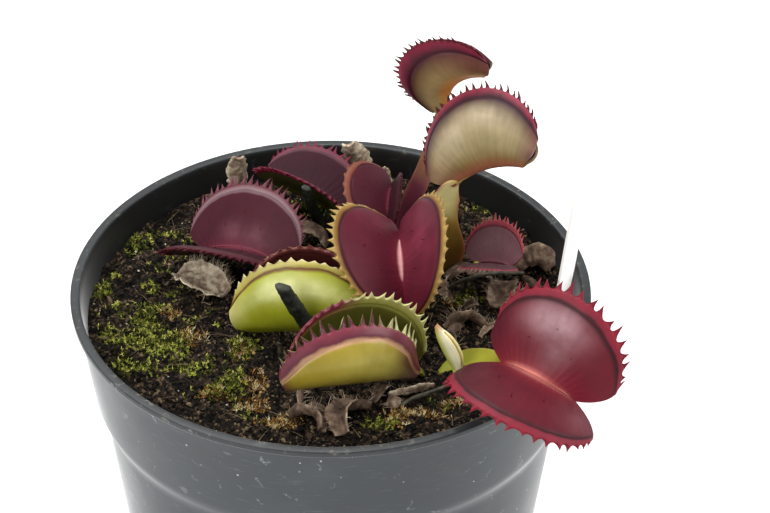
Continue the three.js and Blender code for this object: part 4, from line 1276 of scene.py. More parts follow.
def trap_shell(leaf, look, seed):
    """The whole sheet: the left lobe from its tooth tips inwards, the midrib, and the right lobe
    outwards. It gets thinner towards the margin, and where tip_taper is given towards the tip.
    The midrib's rib, the groove and the keel are exp(-d^2) humps, and slow waves bend the sheet."""
    u = tooth_columns(look.get("teeth", leaf["teeth"]))
    left, right = (trap_rows(leaf, side, u, look) for side in (-1, 1))
    midrib = lobe_points(leaf, 1, u, 0 * u)[None]
    middle = np.concatenate([left[::-1], midrib, right])
    one_side = np.concatenate([LOBE_ZONES, 1 + TOOTH_ROWS])
    zone = np.concatenate([-one_side[::-1], [0], one_side])[:, None] + 0 * u
    groove_at = np.where(zone < 0, groove_line(look, -1, u), groove_line(look, 1, u))
    away = reach_at(np.abs(zone), groove_at)
    v = np.sign(zone) * away
    normal = unit(np.cross(np.gradient(middle, axis=0), np.gradient(middle, axis=1)))
    wave = np.sin(5.3 * u + 2.1 * v + seed) * np.sin(3.7 * v - 2.9 * u + 2 * seed)
    wave = look.get("wave", WAVE_HEIGHT) * wave * np.minimum(away, 1)
    middle = middle + normal * wave[..., None]
    half = np.interp(away, THICKNESS_AT, THICKNESS) / 2
    half = half * (1 - look.get("tip_taper", 0.0) * np.clip((u - 0.7) / 0.3, 0, 1) ** 2)
    from_midrib = away * leaf["wide"]
    rib_start, rib_end = look.get("rib_from", (0.05, 0.97))
    rib = np.exp(-(from_midrib / look.get("rib_width", RIB_WIDTH)) ** 2)
    rib = rib * np.clip((u - rib_start) / 0.18, 0, 1) * np.clip((rib_end - u) / 0.12, 0, 1)
    keel = np.exp(-(from_midrib / KEEL_WIDTH) ** 2)
    fine = FINE_RIB_HEIGHT * np.sin(2 * math.pi * u * FINE_RIBS + 3 * np.sin(7 * u))
    fine = fine * np.clip(1.1 - away, 0, 1) * (away > 0.05)
    groove = np.exp(-((away - groove_at) / GROOVE_WIDTH) ** 2)
    sunk = half - look.get("groove_depth", GROOVE_DEPTH) * groove
    inner = sunk + RIB_HEIGHT * rib + fine
    outer = sunk + KEEL_HEIGHT * keel - fine
    ones = np.ones(away.shape)
    return sheet_shell(
        middle + normal * inner[..., None], middle - normal * outer[..., None],
        zone=np.abs(zone), along=u + 0 * v, side=np.sign(v), inner=(ones, 0 * ones),
        rib=(rib, 0 * rib), bloom=patches_on(look, u, zone),
        along_mm=u * leaf["long"] + 0 * v, across_mm=from_midrib,
    )


print("a lobe is", THICKNESS[2], "mm thick half way out")

# %% Stalks and trigger hairs

STALK_STEPS = 7
STALK_SIDES = 24
# A stalk gets wings where its half width passes this many mm
WINGS_FROM = 0.8
# Where the keel's stops lie along the midrib, and their half widths in mm
KEEL_STOPS = ((0.12, 0.6), (0.4, 0.4))
# Where the trigger hairs stand along and across a lobe, and their length as a share of its reach
HAIRS_ALONG, HAIRS_ACROSS = np.array([0.34, 0.66, 0.5]), np.array([0.42, 0.42, 0.6])
HAIR_LENGTH = 0.085


def stalk_shell(leaf):
    """The winged stalk, which runs on under the trap as its keel. Its section is a flat oval
    whose edges lift into wings, with a rib below, and it becomes round where it is narrow."""
    keel = []
    for u, half in KEEL_STOPS:
        place = lobe_points(leaf, 1, np.array(u), np.array(0.0)) - 0.3 * trap_axes(leaf)[3]
        keel.append([*place, half, half])
    path = smooth_path(leaf["stops"] + keel, STALK_STEPS)
    across_axis = leaf.get("stalk_across", trap_axes(leaf)[4])
    across, through = path_axes(path[:, :3], across_axis)[1:]
    if through[len(through) // 2, 2] < 0:
        through = -through
    angle = round_angles(STALK_SIDES)
    winged = np.clip(path[:, 3:4] - WINGS_FROM, 0, 1)
    x = path[:, 3:4] * np.cos(angle)
    oval = np.sin(angle) * (1 - 0.45 * winged * np.abs(np.cos(angle)))
    rib = 0.5 * winged * np.exp(-(np.cos(angle) / 0.22) ** 2) * (np.sin(angle) < 0)
    y = path[:, 4:5] * (oval - rib) + 0.35 * winged * path[:, 3:4] * (np.cos(angle) ** 2 - 0.4)
    rings = path[:, None, :3] + across[:, None] * x[..., None] + through[:, None] * y[..., None]
    share = np.linspace(0, 1, len(path))[:, None]
    return rod_shell(rings, stalk=1.0, up=share, edge=winged * np.abs(np.cos(angle)) ** 6)


def trigger_hairs(leaf):
    """Three fine hairs on the inner side of each lobe, which spring the trap."""
    bases, tips = [], []
    for side in (-1, 1):
        here = lobe_points(leaf, side, HAIRS_ALONG, HAIRS_ACROSS)
        ahead = lobe_points(leaf, side, HAIRS_ALONG + 0.01, HAIRS_ACROSS) - here
        outward = lobe_points(leaf, side, HAIRS_ALONG, HAIRS_ACROSS + 0.01) - here
        normal = unit(np.cross(outward, ahead)) * side
        bases.append(here)
        tips.append(here + normal * HAIR_LENGTH * leaf["wide"])
    return spikes(np.concatenate(bases), np.concatenate(tips), 0.09, sides=5,
                  inner=1.0, zone=0.5, hair=1.0)


print("trigger hairs on an open trap:", 2 * len(HAIRS_ALONG))

# %% [markdown]
# ## The finish of a trap
#
# The tissue is alive: waxy on the outside, and on the inside a velvet of tiny red glands. Light
# goes a little way into it, so the shader gets some subsurface light and a thin gloss. Its
# colours follow the lobe, from the midrib to the teeth, so they run along ramps of the same two
# numbers that made the shape. Faint streaks run from the midrib to the margin.

# %% Colours across a lobe


def lobe_ramp(tree, half, tones, look):
    """The colour across a lobe, from six tones: near the midrib, the body, the groove inside the
    margin, the band past it, the margin and the tips of the teeth. half is half the zone, which
    is 0 at the midrib, 0.9 at the groove, 1 at the margin and 2 at a tooth's tip."""
    near, body, line, band, margin, tooth = tones
    at, thin = GROOVE_ZONE / 2, look.get("line", 0.004)
    stops = [(0.01, near), (0.16, body), (at - look.get("soft", 0.02), body), (at - thin, line),
             (at + thin, line), (at + thin + 0.01, band), (0.5, margin), (0.66, tooth)]
    return add_node(tree, "ValToRGB", {"Fac": half}, stops=stops).outputs["Color"]


print("the groove's colour lies at", GROOVE_ZONE / 2, "on the ramp")

# %% Trap tissue

# The share of the light that the tissue gives back, against the colours as they are seen
TISSUE_SHADE = 0.62
# The value side is -1 on the left lobe and 1 on the right one: within this of 0 they blend
LOBE_CHANGE = 0.1
TISSUE_VALUES = ("zone", "along", "side", "inner", "rib", "bloom", "along_mm", "across_mm",
                 "stalk", "up", "edge", "hair")
TRIGGER_HAIR = "#4a0f18"
GREEN_STALK = [(0.0, "#47521c"), (0.4, "#8f9630"), (0.6, "#b0ac3c"), (0.8, "#b8b050"), (1.0, "#a08040")]


def trap_tissue(name, look):
    """Living tissue: IOR 1.4, roughness 0.28 to 0.45. Colours are laid on in turn, each with the
    share that it covers: the inner side over the outer one, tints on a stretch of one lobe, pale
    patches of painted sheen, the stalk and the trigger hairs. Streaks and mottling then shade them all."""
    material, tree = new_material(name)
    place = add_node(tree, "TexCoord").outputs["Object"]
    read = {key: add_node(tree, "Attribute", attribute_name=key).outputs["Fac"]
            for key in TISSUE_VALUES}
    soft = add_node(tree, "TexNoise", {"Vector": place, "Scale": per_mm(4), "Detail": 5})
    soft = soft.outputs["Fac"]
    lobe_mm = add_node(tree, "CombineXYZ", {
        0: read["along_mm"], 1: read["across_mm"], 2: read["side"],
    })
    stretched = add_node(tree, "Mapping", {"Vector": lobe_mm.outputs[0], "Scale": (1.5, 0.12, 5)})
    streaks = add_node(tree, "TexNoise", {
        "Vector": stretched.outputs[0], "Scale": 1.0, "Detail": 5,
    }).outputs["Fac"]
    level, strength = look.get("shade", TISSUE_SHADE), look.get("streaks", 0.06)
    ranges = {
        "wobble": (soft, 0.3, 0.7, -0.006, 0.006),
        "on_rib": (read["rib"], *look.get("rib_edge", (0.0, 1.0))),
        "within": (read["zone"], GROOVE_ZONE - 0.005, GROOVE_ZONE - 0.035),
        "haze": (soft, 0.3, 0.6, 0.55, 1.0),
        "streaked": (streaks, 0.3, 0.7, level * (1 - strength), level * (1 + strength)),
        "mottled": (soft, 0.3, 0.7, 0.9, 1.1),
        "rough": (read["inner"], 0, 1, look.get("outer_rough", 0.42), 0.45),
    }
    if "far" in look:
        ranges["on_far"] = (read["side"], -look["far"] * LOBE_CHANGE, look["far"] * LOBE_CHANGE)
    carried = {key: add_node(tree, "MapRange", dict(zip(RANGE_SOCKETS, numbers))).outputs[0]
               for key, numbers in ranges.items()}

    half = add_node(tree, "Math", {
        0: read["zone"], 1: 0.5, 2: carried["wobble"],
    }, operation="MULTIPLY_ADD").outputs[0]
    sides = {}
    for key in ("outer", "inner"):
        sides[key] = lobe_ramp(tree, half, look[key], look)
        if "far" in look:
            far = lobe_ramp(tree, half, look["far_" + key], look)
            sides[key] = add_node(tree, "Mix", {
                0: carried["on_far"], MIX_A: sides[key], MIX_B: far,
            }, data_type="RGBA").outputs[MIX_RESULT]
    # The midrib's colour on the inner side; on leaf_right and leaf_heart it is the pale midrib with a
    # painted highlight
    inner = add_node(tree, "Mix", {
        0: carried["on_rib"], MIX_A: sides["inner"], MIX_B: look["rib"],
    }, data_type="RGBA").outputs[MIX_RESULT]
    stalk = add_node(tree, "ValToRGB", {"Fac": read["up"]}, stops=look.get("stalk", GREEN_STALK))
    stalk = stalk.outputs["Color"]
    stalk = add_node(tree, "Mix", {
        0: read["edge"], MIX_A: stalk, MIX_B: look.get("stalk_edge", "#c0b450"),
    }, data_type="RGBA").outputs[MIX_RESULT]

    layers = [(read["inner"], inner)]
    for colour, lobe, across_from, across_to, along_from, along_to, amount in look.get("tints", ()):
        share = carried["within"] if across_to < GROOVE_ZONE else 1.0
        for numbers in ((read["zone"], across_from, across_to),
                        (read["along"], along_from, along_to, 0.0, amount),
                        (read["side"], -lobe * LOBE_CHANGE, lobe * LOBE_CHANGE)):
            mask = add_node(tree, "MapRange", dict(zip(RANGE_SOCKETS, numbers)))
            share = add_node(tree, "Math", {0: share, 1: mask.outputs[0]},
                             operation="MULTIPLY").outputs[0]
        layers.append((share, colour))
    # Pale patches of painted sheen: highlights painted on the lobes, broken up by noise
    sheen_share = add_node(tree, "Math", {0: read["bloom"], 1: carried["haze"]}, operation="MULTIPLY")
    layers += [(sheen_share.outputs[0], look.get("bloom", "#ad8086")), (read["stalk"], stalk),
               (read["hair"], TRIGGER_HAIR)]
    body = sides["outer"]
    for share, colour in layers:
        body = add_node(tree, "Mix", {0: share, MIX_A: body, MIX_B: colour},
                        data_type="RGBA").outputs[MIX_RESULT]
    for shade in (carried["streaked"], carried["mottled"]):
        body = add_node(tree, "VectorMath", {0: body, 1: shade}, operation="MULTIPLY").outputs[0]

    glands = add_node(tree, "TexNoise", {"Vector": place, "Scale": per_mm(0.28), "Detail": 2})
    glands = add_node(tree, "Math", {0: glands.outputs["Fac"], 1: read["inner"]},
                      operation="MULTIPLY")
    relief = add_node(tree, "Math", {
        0: streaks, 1: 0.4, 2: glands.outputs[0],
    }, operation="MULTIPLY_ADD")
    bump = add_node(tree, "Bump", {
        "Height": relief.outputs[0], "Strength": 0.2, "Distance": 0.06 * MM,
    })
    surface = add_node(tree, "BsdfPrincipled", {
        "Base Color": body, "Roughness": carried["rough"], "IOR": 1.4, "Normal": bump.outputs[0],
        "Subsurface Weight": 0.15, "Subsurface Radius": (1.0, 0.45, 0.25),
        "Subsurface Scale": 0.5 * MM, "Specular IOR Level": look.get("gloss", 0.25),
        "Coat Weight": look.get("coat", 0.0), "Coat Roughness": 0.3,
    })
    add_node(tree, "OutputMaterial", {"Surface": surface.outputs[0]})
    return material


print("values that the tissue reads:", len(TISSUE_VALUES))

# %% The colours of each leaf
# Six tones for each side of a lobe, as lobe_ramp names them. The patches of painted sheen, pale
# highlights painted on the lobes, each hold the lobe (1 right, -1 left), the place along and
# across, the length and width, and the strength. A tint holds its colour, the lobe, where it
# starts and is full across and along, and its strength. shade is the share of light, line and
# soft shape the ramp's groove, far names the far lobe, and the teeth have their lengths at base
# and tip on each lobe.

RED_OUTER = ("#8a7a38", "#7c4636", "#6a2830", "#842636", "#8a2838", "#741c2c")
LOOKS = {
    "leaf_right": {
        # The rib colour is the pale midrib with a painted highlight along it
        "slot": "red_trap_leaf", "groove": 0.885, "rib": "#f89484", "rib_width": 0.85,
        "inner": ("#8c2832", "#781f2e", "#481a21", "#8c2a3c", "#9c2a3c", "#8c1a30"),
        "outer": RED_OUTER, "line": 0.008, "soft": 0.035, "groove_depth": 0.08,
        "stalk": [(0.0, "#6c7a24"), (0.1, "#a2a832"), (0.7, "#b4b03c"), (1.0, "#b09048")],
        "bloom": "#c89ea4",
        "painted_sheen_at": ((-1, 0.47, 0.68, 0.16, 0.19, 1.0), (-1, 0.56, 0.4, 0.1, 0.2, 0.4),
                     (1, 0.92, 0.5, 0.16, 0.4, 0.15)),
        "tints": (("#3e1c24", 1, 0.2, 0.7, 0.55, 0.15, 0.95), ("#56182a", -1, 0.3, 0.6, 0.3, 0.08, 0.7),
                  ("#621a28", 1, 0.05, 0.3, -1, 0, 0.6), ("#84142a", -1, 0.5, 0.25, 0.5, 0.75, 0.7)),
        "tooth_power": 2.3, "teeth_right": (0.8, 0.8), "teeth_left": (1.05, 1.1),
    },
    "leaf_heart": {
        "slot": "red_trap_leaf", "groove": 0.93,
        # The wide rib colour is the pale midrib with a painted highlight along it
        "rib": "#f4b0ae", "rib_from": (0.1, 0.97), "rib_width": 1.5, "rib_edge": (0.3, 0.6),
        "inner": ("#82263a", "#6a2032", "#451820", "#7e4a2c", "#b08c44", "#c4a462"),
        "outer": ("#a0903c", "#a48a3e", "#94782f", "#b08c48", "#b8944c", "#c4a462"),
        "bloom": "#9c4054", "painted_sheen_at": ((1, 0.6, 0.5, 0.3, 0.3, 0.6), (-1, 0.9, 0.6, 0.2, 0.3, 0.4)),
        "teeth": 22, "teeth_right": (0.8, 0.9), "teeth_left": (1.2, 1.2),
    },
    "leaf_back_left": {
        "slot": "red_trap_leaf", "groove": 0.9, "rib": "#9c4858",
        # The pale groove and band tones inside are a painted highlight along the lip
        "inner": ("#742c3e", "#562732", "#84646c", "#a08689", "#7a4450", "#86505c"), "gloss": 0.12,
        "outer": ("#4c4a26", "#453a2a", "#4a2428", "#5c2028", "#5c2028", "#5c2028"),
        "bloom": "#9c6470", "painted_sheen_at": ((1, 0.35, 0.25, 0.16, 0.16, 0.7), (1, 0.6, 0.3, 0.12, 0.14, 0.5)),
        "line": 0.007, "streaks": 0.0, "teeth": 26,
        # The first tint darkens the left lobe near the midrib: painted shade
        "tints": (("#40242a", -1, 0.0, 0.3, -1, 0, 0.9), ("#54202a", -1, 0.85, 0.9, -1, 0, 0.9)),
        "tooth_power": 2.6, "groove_depth": 0.06,
    },
    "leaf_back": {
        "slot": "red_trap_leaf", "groove": 0.89, "rib": "#844450",
        "inner": ("#54202a", "#431d27", "#6c444e", "#844d5a", "#844456", "#84384c"), "gloss": 0.12,
        "outer": ("#5c5c26", "#4c4a24", "#4c3424", "#781c34", "#7c1c34", "#741830"),
        "tooth_power": 2.5, "groove_depth": 0.06, "streaks": 0.0, "teeth": 22,
    },
    "leaf_back_small": {
        "slot": "red_trap_leaf", "groove": 0.88, "rib": "#6c2636",
        "inner": ("#5e2030", "#5c2432", "#4e1c26", "#8c4c3c", "#9c6252", "#a4684e"), "gloss": 0.15,
        "outer": ("#8a6a3a", "#8a6038", "#80503a", "#94584a", "#985a46", "#a4684e"),
        "far": 1, "far_inner": ("#48202a", "#3e1e26", "#3a1620", "#481c24", "#481c24", "#481c24"),
        "far_outer": ("#4a2026", "#441a24", "#3a1620", "#481a26", "#481a26", "#481a26"),
        "teeth_right": (0.2, 0.2), "teeth_left": (0.4, 0.4),
    },
    "leaf_top": {
        "slot": "olive_trap_leaf", "groove": (0.68, 0.72, 0.8, 0.86), "rib": "#6a2a2e",
        "outer": ("#d88a34", "#b49a68", "#421420", "#5e1428", "#90203e", "#5e1a26"),
        "line": 0.009, "soft": 0.2, "shade": 0.74, "lean": 0.4, "streaks": 0.08,
        "inner": ("#5a2428", "#4c1e24", "#4c1e24", "#5c1e28", "#6c2030", "#4e1620"),
        "stalk": [(0.0, "#4a2430"), (0.35, "#6c2a3c"), (0.5, "#94703c"), (0.62, "#a8944a"),
                  (0.75, "#b08c48"), (1.0, "#b06a30")],
        "stalk_edge": "#8c5040",
        "tints": (("#6c3834", 1, 0.1, 0.5, 0.5, 0.85, 0.85), ("#cc7c30", 1, 0.4, 0.1, 0.15, 0.3, 0.8)),
        "teeth": 28, "teeth_right": (0.95, 0.95), "teeth_left": (0.8, 0.8), "tooth_power": 2.8,
    },
    "leaf_tall": {
        "slot": "olive_trap_leaf", "groove": 0.865, "rib": "#6a2a2e",
        # On the outer side the darker tone near the midrib, along the trap's underside, is painted shade
        "outer": ("#8a6a34", "#a8966a", "#42202a", "#662032", "#a03c4e", "#6c2430"),
        "line": 0.009, "soft": 0.17, "shade": 0.7, "lean": 0.45, "streaks": 0.09,
        "inner": ("#5a2428", "#4c1e24", "#4c1e24", "#6c2634", "#7c2838", "#5c1e2a"),
        # The stalk's dark lower stops are painted shade, where it stands behind another trap, and its
        # near-white joint is yellow tissue with a painted highlight
        "stalk": [(0.0, "#311902"), (0.29, "#6e4e1e"), (0.42, "#a6883a"), (0.54, "#fff0a4"),
                  (0.7, "#fff4b0"), (0.84, "#d7b460"), (1.0, "#a07c44")],
        "stalk_edge": "#b86c48", "bloom": "#ccba9c",
        "painted_sheen_at": ((1, 0.34, 0.56, 0.16, 0.16, 0.9), (1, 0.6, 0.66, 0.2, 0.14, 0.9)),
        "tints": (("#7c4a48", 1, 0.0, 0.3, 0.86, 1.0, 0.9), ("#5c2c2a", 1, 0.3, 0.6, 0.16, 0.0, 0.9),
                  ("#8a5648", 1, 0.7, 0.2, 0.3, 0.05, 0.7), ("#a4604c", 1, 0.18, 0.04, -1, 0, 0.8)),
        "teeth_right": (1.15, 1.15), "teeth_left": (0.8, 0.8), "tooth_power": 2.9, "teeth": 28,
    },
    "leaf_green": {
        "slot": "green_trap_leaf", "groove": (0.95, 0.945, 0.935, 0.84), "rib": "#7a4a30",
        # On the outer side the darker tone near the midrib, along the trap's underside, is painted shade
        "outer": ("#8a8a18", "#a9ad28", "#6a4020", "#b0a048", "#c0b45c", "#d8cc90"),
        "inner": ("#7a3028", "#5c241e", "#4a1e1c", "#6c3430", "#6c3430", "#84463c"),
        "line": 0.003, "shade": 0.82, "streaks": 0.02, "outer_rough": 0.28, "gloss": 0.4, "coat": 0.2,
        "bloom": "#eeeeac", "painted_sheen_at": ((-1, 0.5, 0.7, 0.36, 0.1, 0.9),),
        "tints": (("#e4d890", -1, 0.3, 0.7, 0.8, 1.0, 0.8),),
        "teeth_left": (0.15, 1.3), "teeth_right": (1.0, 1.0), "tooth_power": 1.4, "far": 1,
        "far_inner": ("#6a2a24", "#50201c", "#421a1a", "#5c2826", "#6a302c", "#7c4038"),
        "far_outer": ("#80862c", "#a8a848", "#8a6a34", "#84403a", "#7c3a34", "#84463c"),
    },
    "leaf_front": {
        "slot": "green_trap_leaf", "groove": (0.5, 0.76, 0.86, 0.84, 0.8, 0.68), "rib": "#5c5424",
        # On the outer side the darker tone near the midrib, along the trap's underside, is painted shade
        "outer": ("#6c6418", "#a8942c", "#c89a74", "#642434", "#883646", "#541a28"),
        "inner": ("#4c4c1c", "#7e7c30", "#94923e", "#a09c48", "#a8a458", "#c0bc78"),
        "shade": 0.75, "streaks": 0.04, "outer_rough": 0.34, "gloss": 0.4, "coat": 0.2,
        "far": 1, "far_groove": 0.9, "groove_depth": 0.2,
        "far_inner": ("#4c4c1c", "#6c6a28", "#8c8a38", "#a09c48", "#a8a458", "#d0cc88"),
        "far_outer": ("#7c7628", "#a69c3e", "#a09c48", "#a09c48", "#a8a458", "#d0cc88"),
        "bloom": "#cfc66e", "painted_sheen_at": ((-1, 0.35, 0.6, 0.3, 0.2, 0.5),),
        "teeth_left": (1.7, 1.2), "teeth_right": (1.3, 0.5), "lean": 0.1,
        "tooth_power": (2.6, 1.6), "teeth": 22,
        "tints": (("#e4e0a0", -1, 0.99, 1.12, 0.42, 0.25, 1.0), ("#7c2c3a", 1, 0.82, 0.95, 0.5, 0.62, 1.0),
                  ("#5a1c2c", -1, 0.0, 0.05, 0.22, 0.1, 1.0), ("#5a1c2c", -1, 0.45, 0.75, 0.32, 0.2, 1.0),
                  ("#6a2434", -1, 0.0, 0.05, 0.93, 1.0, 0.9)),
    },
    "leaf_right_small": {
        "slot": "red_trap_leaf", "groove": 0.88, "rib": "#6a3440",
        "outer": RED_OUTER,
        "inner": ("#7c4a54", "#785058", "#64363f", "#8c3846", "#a0404e", "#b05456"), "shade": 0.85,
        "tints": (("#5a4044", 1, 0.0, 0.3, -1, 0, 0.8), ("#8a7468", 1, 1.0, 1.3, -1, 0, 0.9)),
        "teeth": 20, "teeth_right": (1.3, 1.3), "teeth_left": (1.2, 1.2), "tooth_power": 2.3,
        "bloom": "#8c6c74", "painted_sheen_at": ((-1, 0.5, 0.6, 0.4, 0.3, 0.5),),
    },
    "leaf_bud": {
        "slot": "young_leaf", "groove": 0.9, "rib": "#d8cc94", "groove_depth": 0.02, "wave": 0.03,
        "shade": 0.95, "streaks": 0.0, "coat": 0.2,
        "outer": ("#b6ba44", "#f6f0c8", "#fdf8dc", "#faf2cc", "#f2e8b4", "#e8d8a0"),
        "inner": ("#d8cc94", "#f0e8bc", "#f0e8bc", "#efe2a8", "#e8d898", "#e0cc90"),
        "stalk": [(0.0, "#8a9a30"), (0.5, "#b8c448"), (1.0, "#d4d67c")],
        "teeth_left": (0.1, 0.1), "teeth_right": (0.1, 0.1), "tip_taper": 0.75,
        "tints": (("#c2c454", 1, 0.62, 0.3, -1, 0, 0.8), ("#c2c454", -1, 0.62, 0.3, -1, 0, 0.8),
                  ("#c48e64", 1, -1, 0, 0.84, 1.0, 0.9), ("#c48e64", -1, -1, 0, 0.84, 1.0, 0.9)),
    },
}
print("looks:", len(LOOKS))

# %% Make the leaves

OPEN_TRAPS = ("leaf_right", "leaf_heart", "leaf_back_left", "leaf_back", "leaf_back_small",
              "leaf_right_small")

for seed, (name, leaf) in enumerate(LEAVES.items()):
    look = LOOKS[name]
    shells = [trap_shell(leaf, look, seed), stalk_shell(leaf)]
    if name in OPEN_TRAPS:
        shells.append(trigger_hairs(leaf))
    tissue = trap_tissue(name.replace("leaf", "tissue"), look)
    make_piece(name.replace("leaf", "trap"), shells, tissue, nodes=[name])

# %% [markdown]
# ## Dead leaves, stumps and dry stalks
#
# Old traps dry to brown curls. Each one is a strip carried along a path close over the soil,
# bent up or down at its edges and crinkled, and some keep their dried teeth as pale hairs. The
# two stumps are cut flower stalks, black with age, and the dry stalks are thin dark rods.

# %% Dry leaves
# A stop is x and y, the height over the soil and the half width, in mm. cup bends the edges up,
# across is the direction of the strip's width, and shade picks its tone, from dark to pale.

DRY_LEAVES = {
    "dry_leaf_round": {
        "cup": 0.9, "across": [0.2, -0.5, 0.8], "shade": 0.48, "crinkle": 0.35,
        "stops": [[32.6, 9.2, 1.2, 1.4], [34.2, 10.6, 3, 3], [37, 10.8, 3.6, 3], [38.6, 9.2, 1.9, 1.6]],
    },
    "dry_leaf_flat": {
        "cup": 0.3, "across": [1, -0.1, 0.1], "shade": 0.55, "crinkle": 0.5, "hairs": 16,
        "stops": [[29.2, -1.4, 1.2, 1.8], [29.6, 1.2, 1.9, 2.5], [30.2, 3.8, 2.1, 2.5],
                  [30.8, 6.2, 1.4, 1.6]],
    },
    "dry_leaf_left": {
        "cup": 0.4, "across": [-0.5, -0.7, -0.1], "shade": 0.88, "hairs": 110, "crinkle": 0.7,
        "stops": [[-26.8, 9.4, 1.5, 1.8], [-24.2, 7, 2.3, 3.4], [-21, 4.4, 2.5, 3.4],
                  [-18.4, 2.2, 1.5, 1.6]],
    },
    "dry_leaf_dome": {
        "cup": -0.8, "across": [0, -0.8, 0.6], "shade": 0.5, "crinkle": 0.5, "hairs": 60,
        "stops": [[-8.6, 17.6, 1.5, 1.4], [-6.9, 17.3, 4.4, 2.4], [-4.5, 17.1, 5.1, 2.5],
                  [-2.2, 16.9, 4.2, 2.2], [-1, 16.7, 1.6, 1.3]],
    },
    "dry_leaf_upright": {
        "cup": 0.4, "across": [1, 0.1, 0], "shade": 0.8, "crinkle": 0.6,
        "stops": [[-17, 35, 0.5, 1.4], [-17, 35, 3, 1.9], [-16.9, 34.6, 6.4, 1.9], [-16.6, 33.8, 9, 1.1]],
    },
    "dry_leaf_back_tall": {
        "cup": 0.5, "across": [1, 0, 0.2], "shade": 0.85, "crinkle": 0.8,
        "stops": [[6, 38, 0.9, 1.6], [5.4, 38, 4, 2.4], [4.4, 37, 8, 2.4], [3.2, 35.6, 11, 1.3]],
    },
    "dry_leaf_back_low": {
        "cup": 0.4, "across": [1, -0.2, 0], "shade": 0.7, "crinkle": 0.8,
        "stops": [[9.6, 34.6, 0.6, 1.2], [9.6, 34.8, 3, 1.7], [9.4, 34.4, 5.6, 1.6], [9, 33.4, 7.4, 1]],
    },
    "dry_leaf_front_left": {
        "cup": 0.7, "across": [-0.3, -0.6, 0.7], "shade": 0.5, "hairs": 20, "crinkle": 0.6,
        "stops": [[-7, -30.6, 1.3, 1.2], [-4.6, -30.2, 2.1, 1.8], [-2, -31.8, 2, 1.8],
                  [-1.6, -34.6, 1.2, 1]],
    },
    "dry_leaf_front_curl": {
        "cup": 0.8, "across": [0.9, -0.4, 0.3], "shade": 0.46, "hairs": 36, "crinkle": 0.7,
        "stops": [[6.2, -28.6, 1.2, 1.2], [3.4, -29.4, 2.4, 2], [1.2, -32, 2.4, 2.2],
                  [2, -35.4, 1.3, 1.4]],
    },
    "dry_leaf_front_pale": {
        "cup": 0.5, "across": [0.3, -0.6, 0.7], "shade": 0.78, "hairs": 8, "crinkle": 0.7,
        "stops": [[9.6, -25.4, 1.3, 0.9], [12.4, -24.8, 1.8, 1.5], [15.2, -23.4, 1.8, 1.4],
                  [17, -22.6, 1.3, 0.8]],
    },
}
print("dry leaves:", len(DRY_LEAVES))

# %% The shape of a dry leaf

DRY_THICKNESS = 0.5
DRY_HAIR_RADIUS = 0.055
# The share of the hairs that stand on the first edge
FIRST_EDGE = 0.75


def dry_leaf_shells(dry, seed, steps=14, columns=17):
    """A strip of half width h along the path. A point at the share s from -1 to 1 across it is
    lifted by h (cup (s^2 - 0.5) + crinkle), where the crinkle is noise along and across. Dried
    teeth stand on its edges as hairs."""
    stops = np.array(dry["stops"], float)
    stops[:, 2] += soil_plain(stops[:, 0], stops[:, 1])
    path = smooth_path(stops, steps)
    across, out = path_axes(path[:, :3], dry["across"])[1:]
    out = -out if out[len(out) // 2, 2] < 0 else out
    share = np.linspace(-1, 1, columns)
    rows = np.arange(len(path)) / len(path)
    t, s = np.meshgrid(rows, share, indexing="ij")
    crinkle = 0.16 * value_noise(9 * t, 2.2 * s + 3, 1.0, 40 + seed)
    crinkle = crinkle + 0.08 * value_noise(26 * t, 6 * s + 3, 1.0, 60 + seed)
    ragged = 1 + 0.12 * value_noise(14 * t, 2 * np.sign(s) + 2, 1.0, 80 + seed)
    half = path[:, 3:4] * (0.92 * ragged)
    lift = path[:, 3:4] * (dry["cup"] * (s * s - 0.5) + dry.get("crinkle", 1) * crinkle)
    middle = path[:, None, :3] + across[:, None] * (half * s)[..., None] + out[:, None] * lift[..., None]
    normal = unit(np.cross(np.gradient(middle, axis=0), np.gradient(middle, axis=1)))
    thin = DRY_THICKNESS / 2 * (1 - 0.5 * s ** 4)[..., None]
    draw = np.clip(dry["shade"] + 0.12 * value_noise(7 * t, 3 * s, 1.0, seed), 0, 1)
    draw = np.clip(draw + 0.2 * s ** 6, 0, 1)
    shells = [sheet_shell(middle + normal * thin, middle - normal * thin, draw=draw)]
    if "hairs" in dry:
        generator = np.random.default_rng(100 + seed)
        row = generator.integers(2, len(path) - 2, dry["hairs"])
        side = np.where(generator.uniform(size=dry["hairs"]) < FIRST_EDGE, 0, len(share) - 1)
        base = middle[row, side]
        away = unit(base - middle[row, len(share) // 2])
        direction = unit(away + 0.5 * generator.normal(size=base.shape) + [0, 0, 0.3])
        tip = base + direction * generator.uniform(0.8, 2.0, (len(base), 1))
        draw = generator.uniform(0.6, 1, len(base))
        shells.append(spikes(base, tip, DRY_HAIR_RADIUS, sag=0.12, draw=draw))
    return shells


print("a dry leaf is", DRY_THICKNESS, "mm thick")

# %% Withered tissue


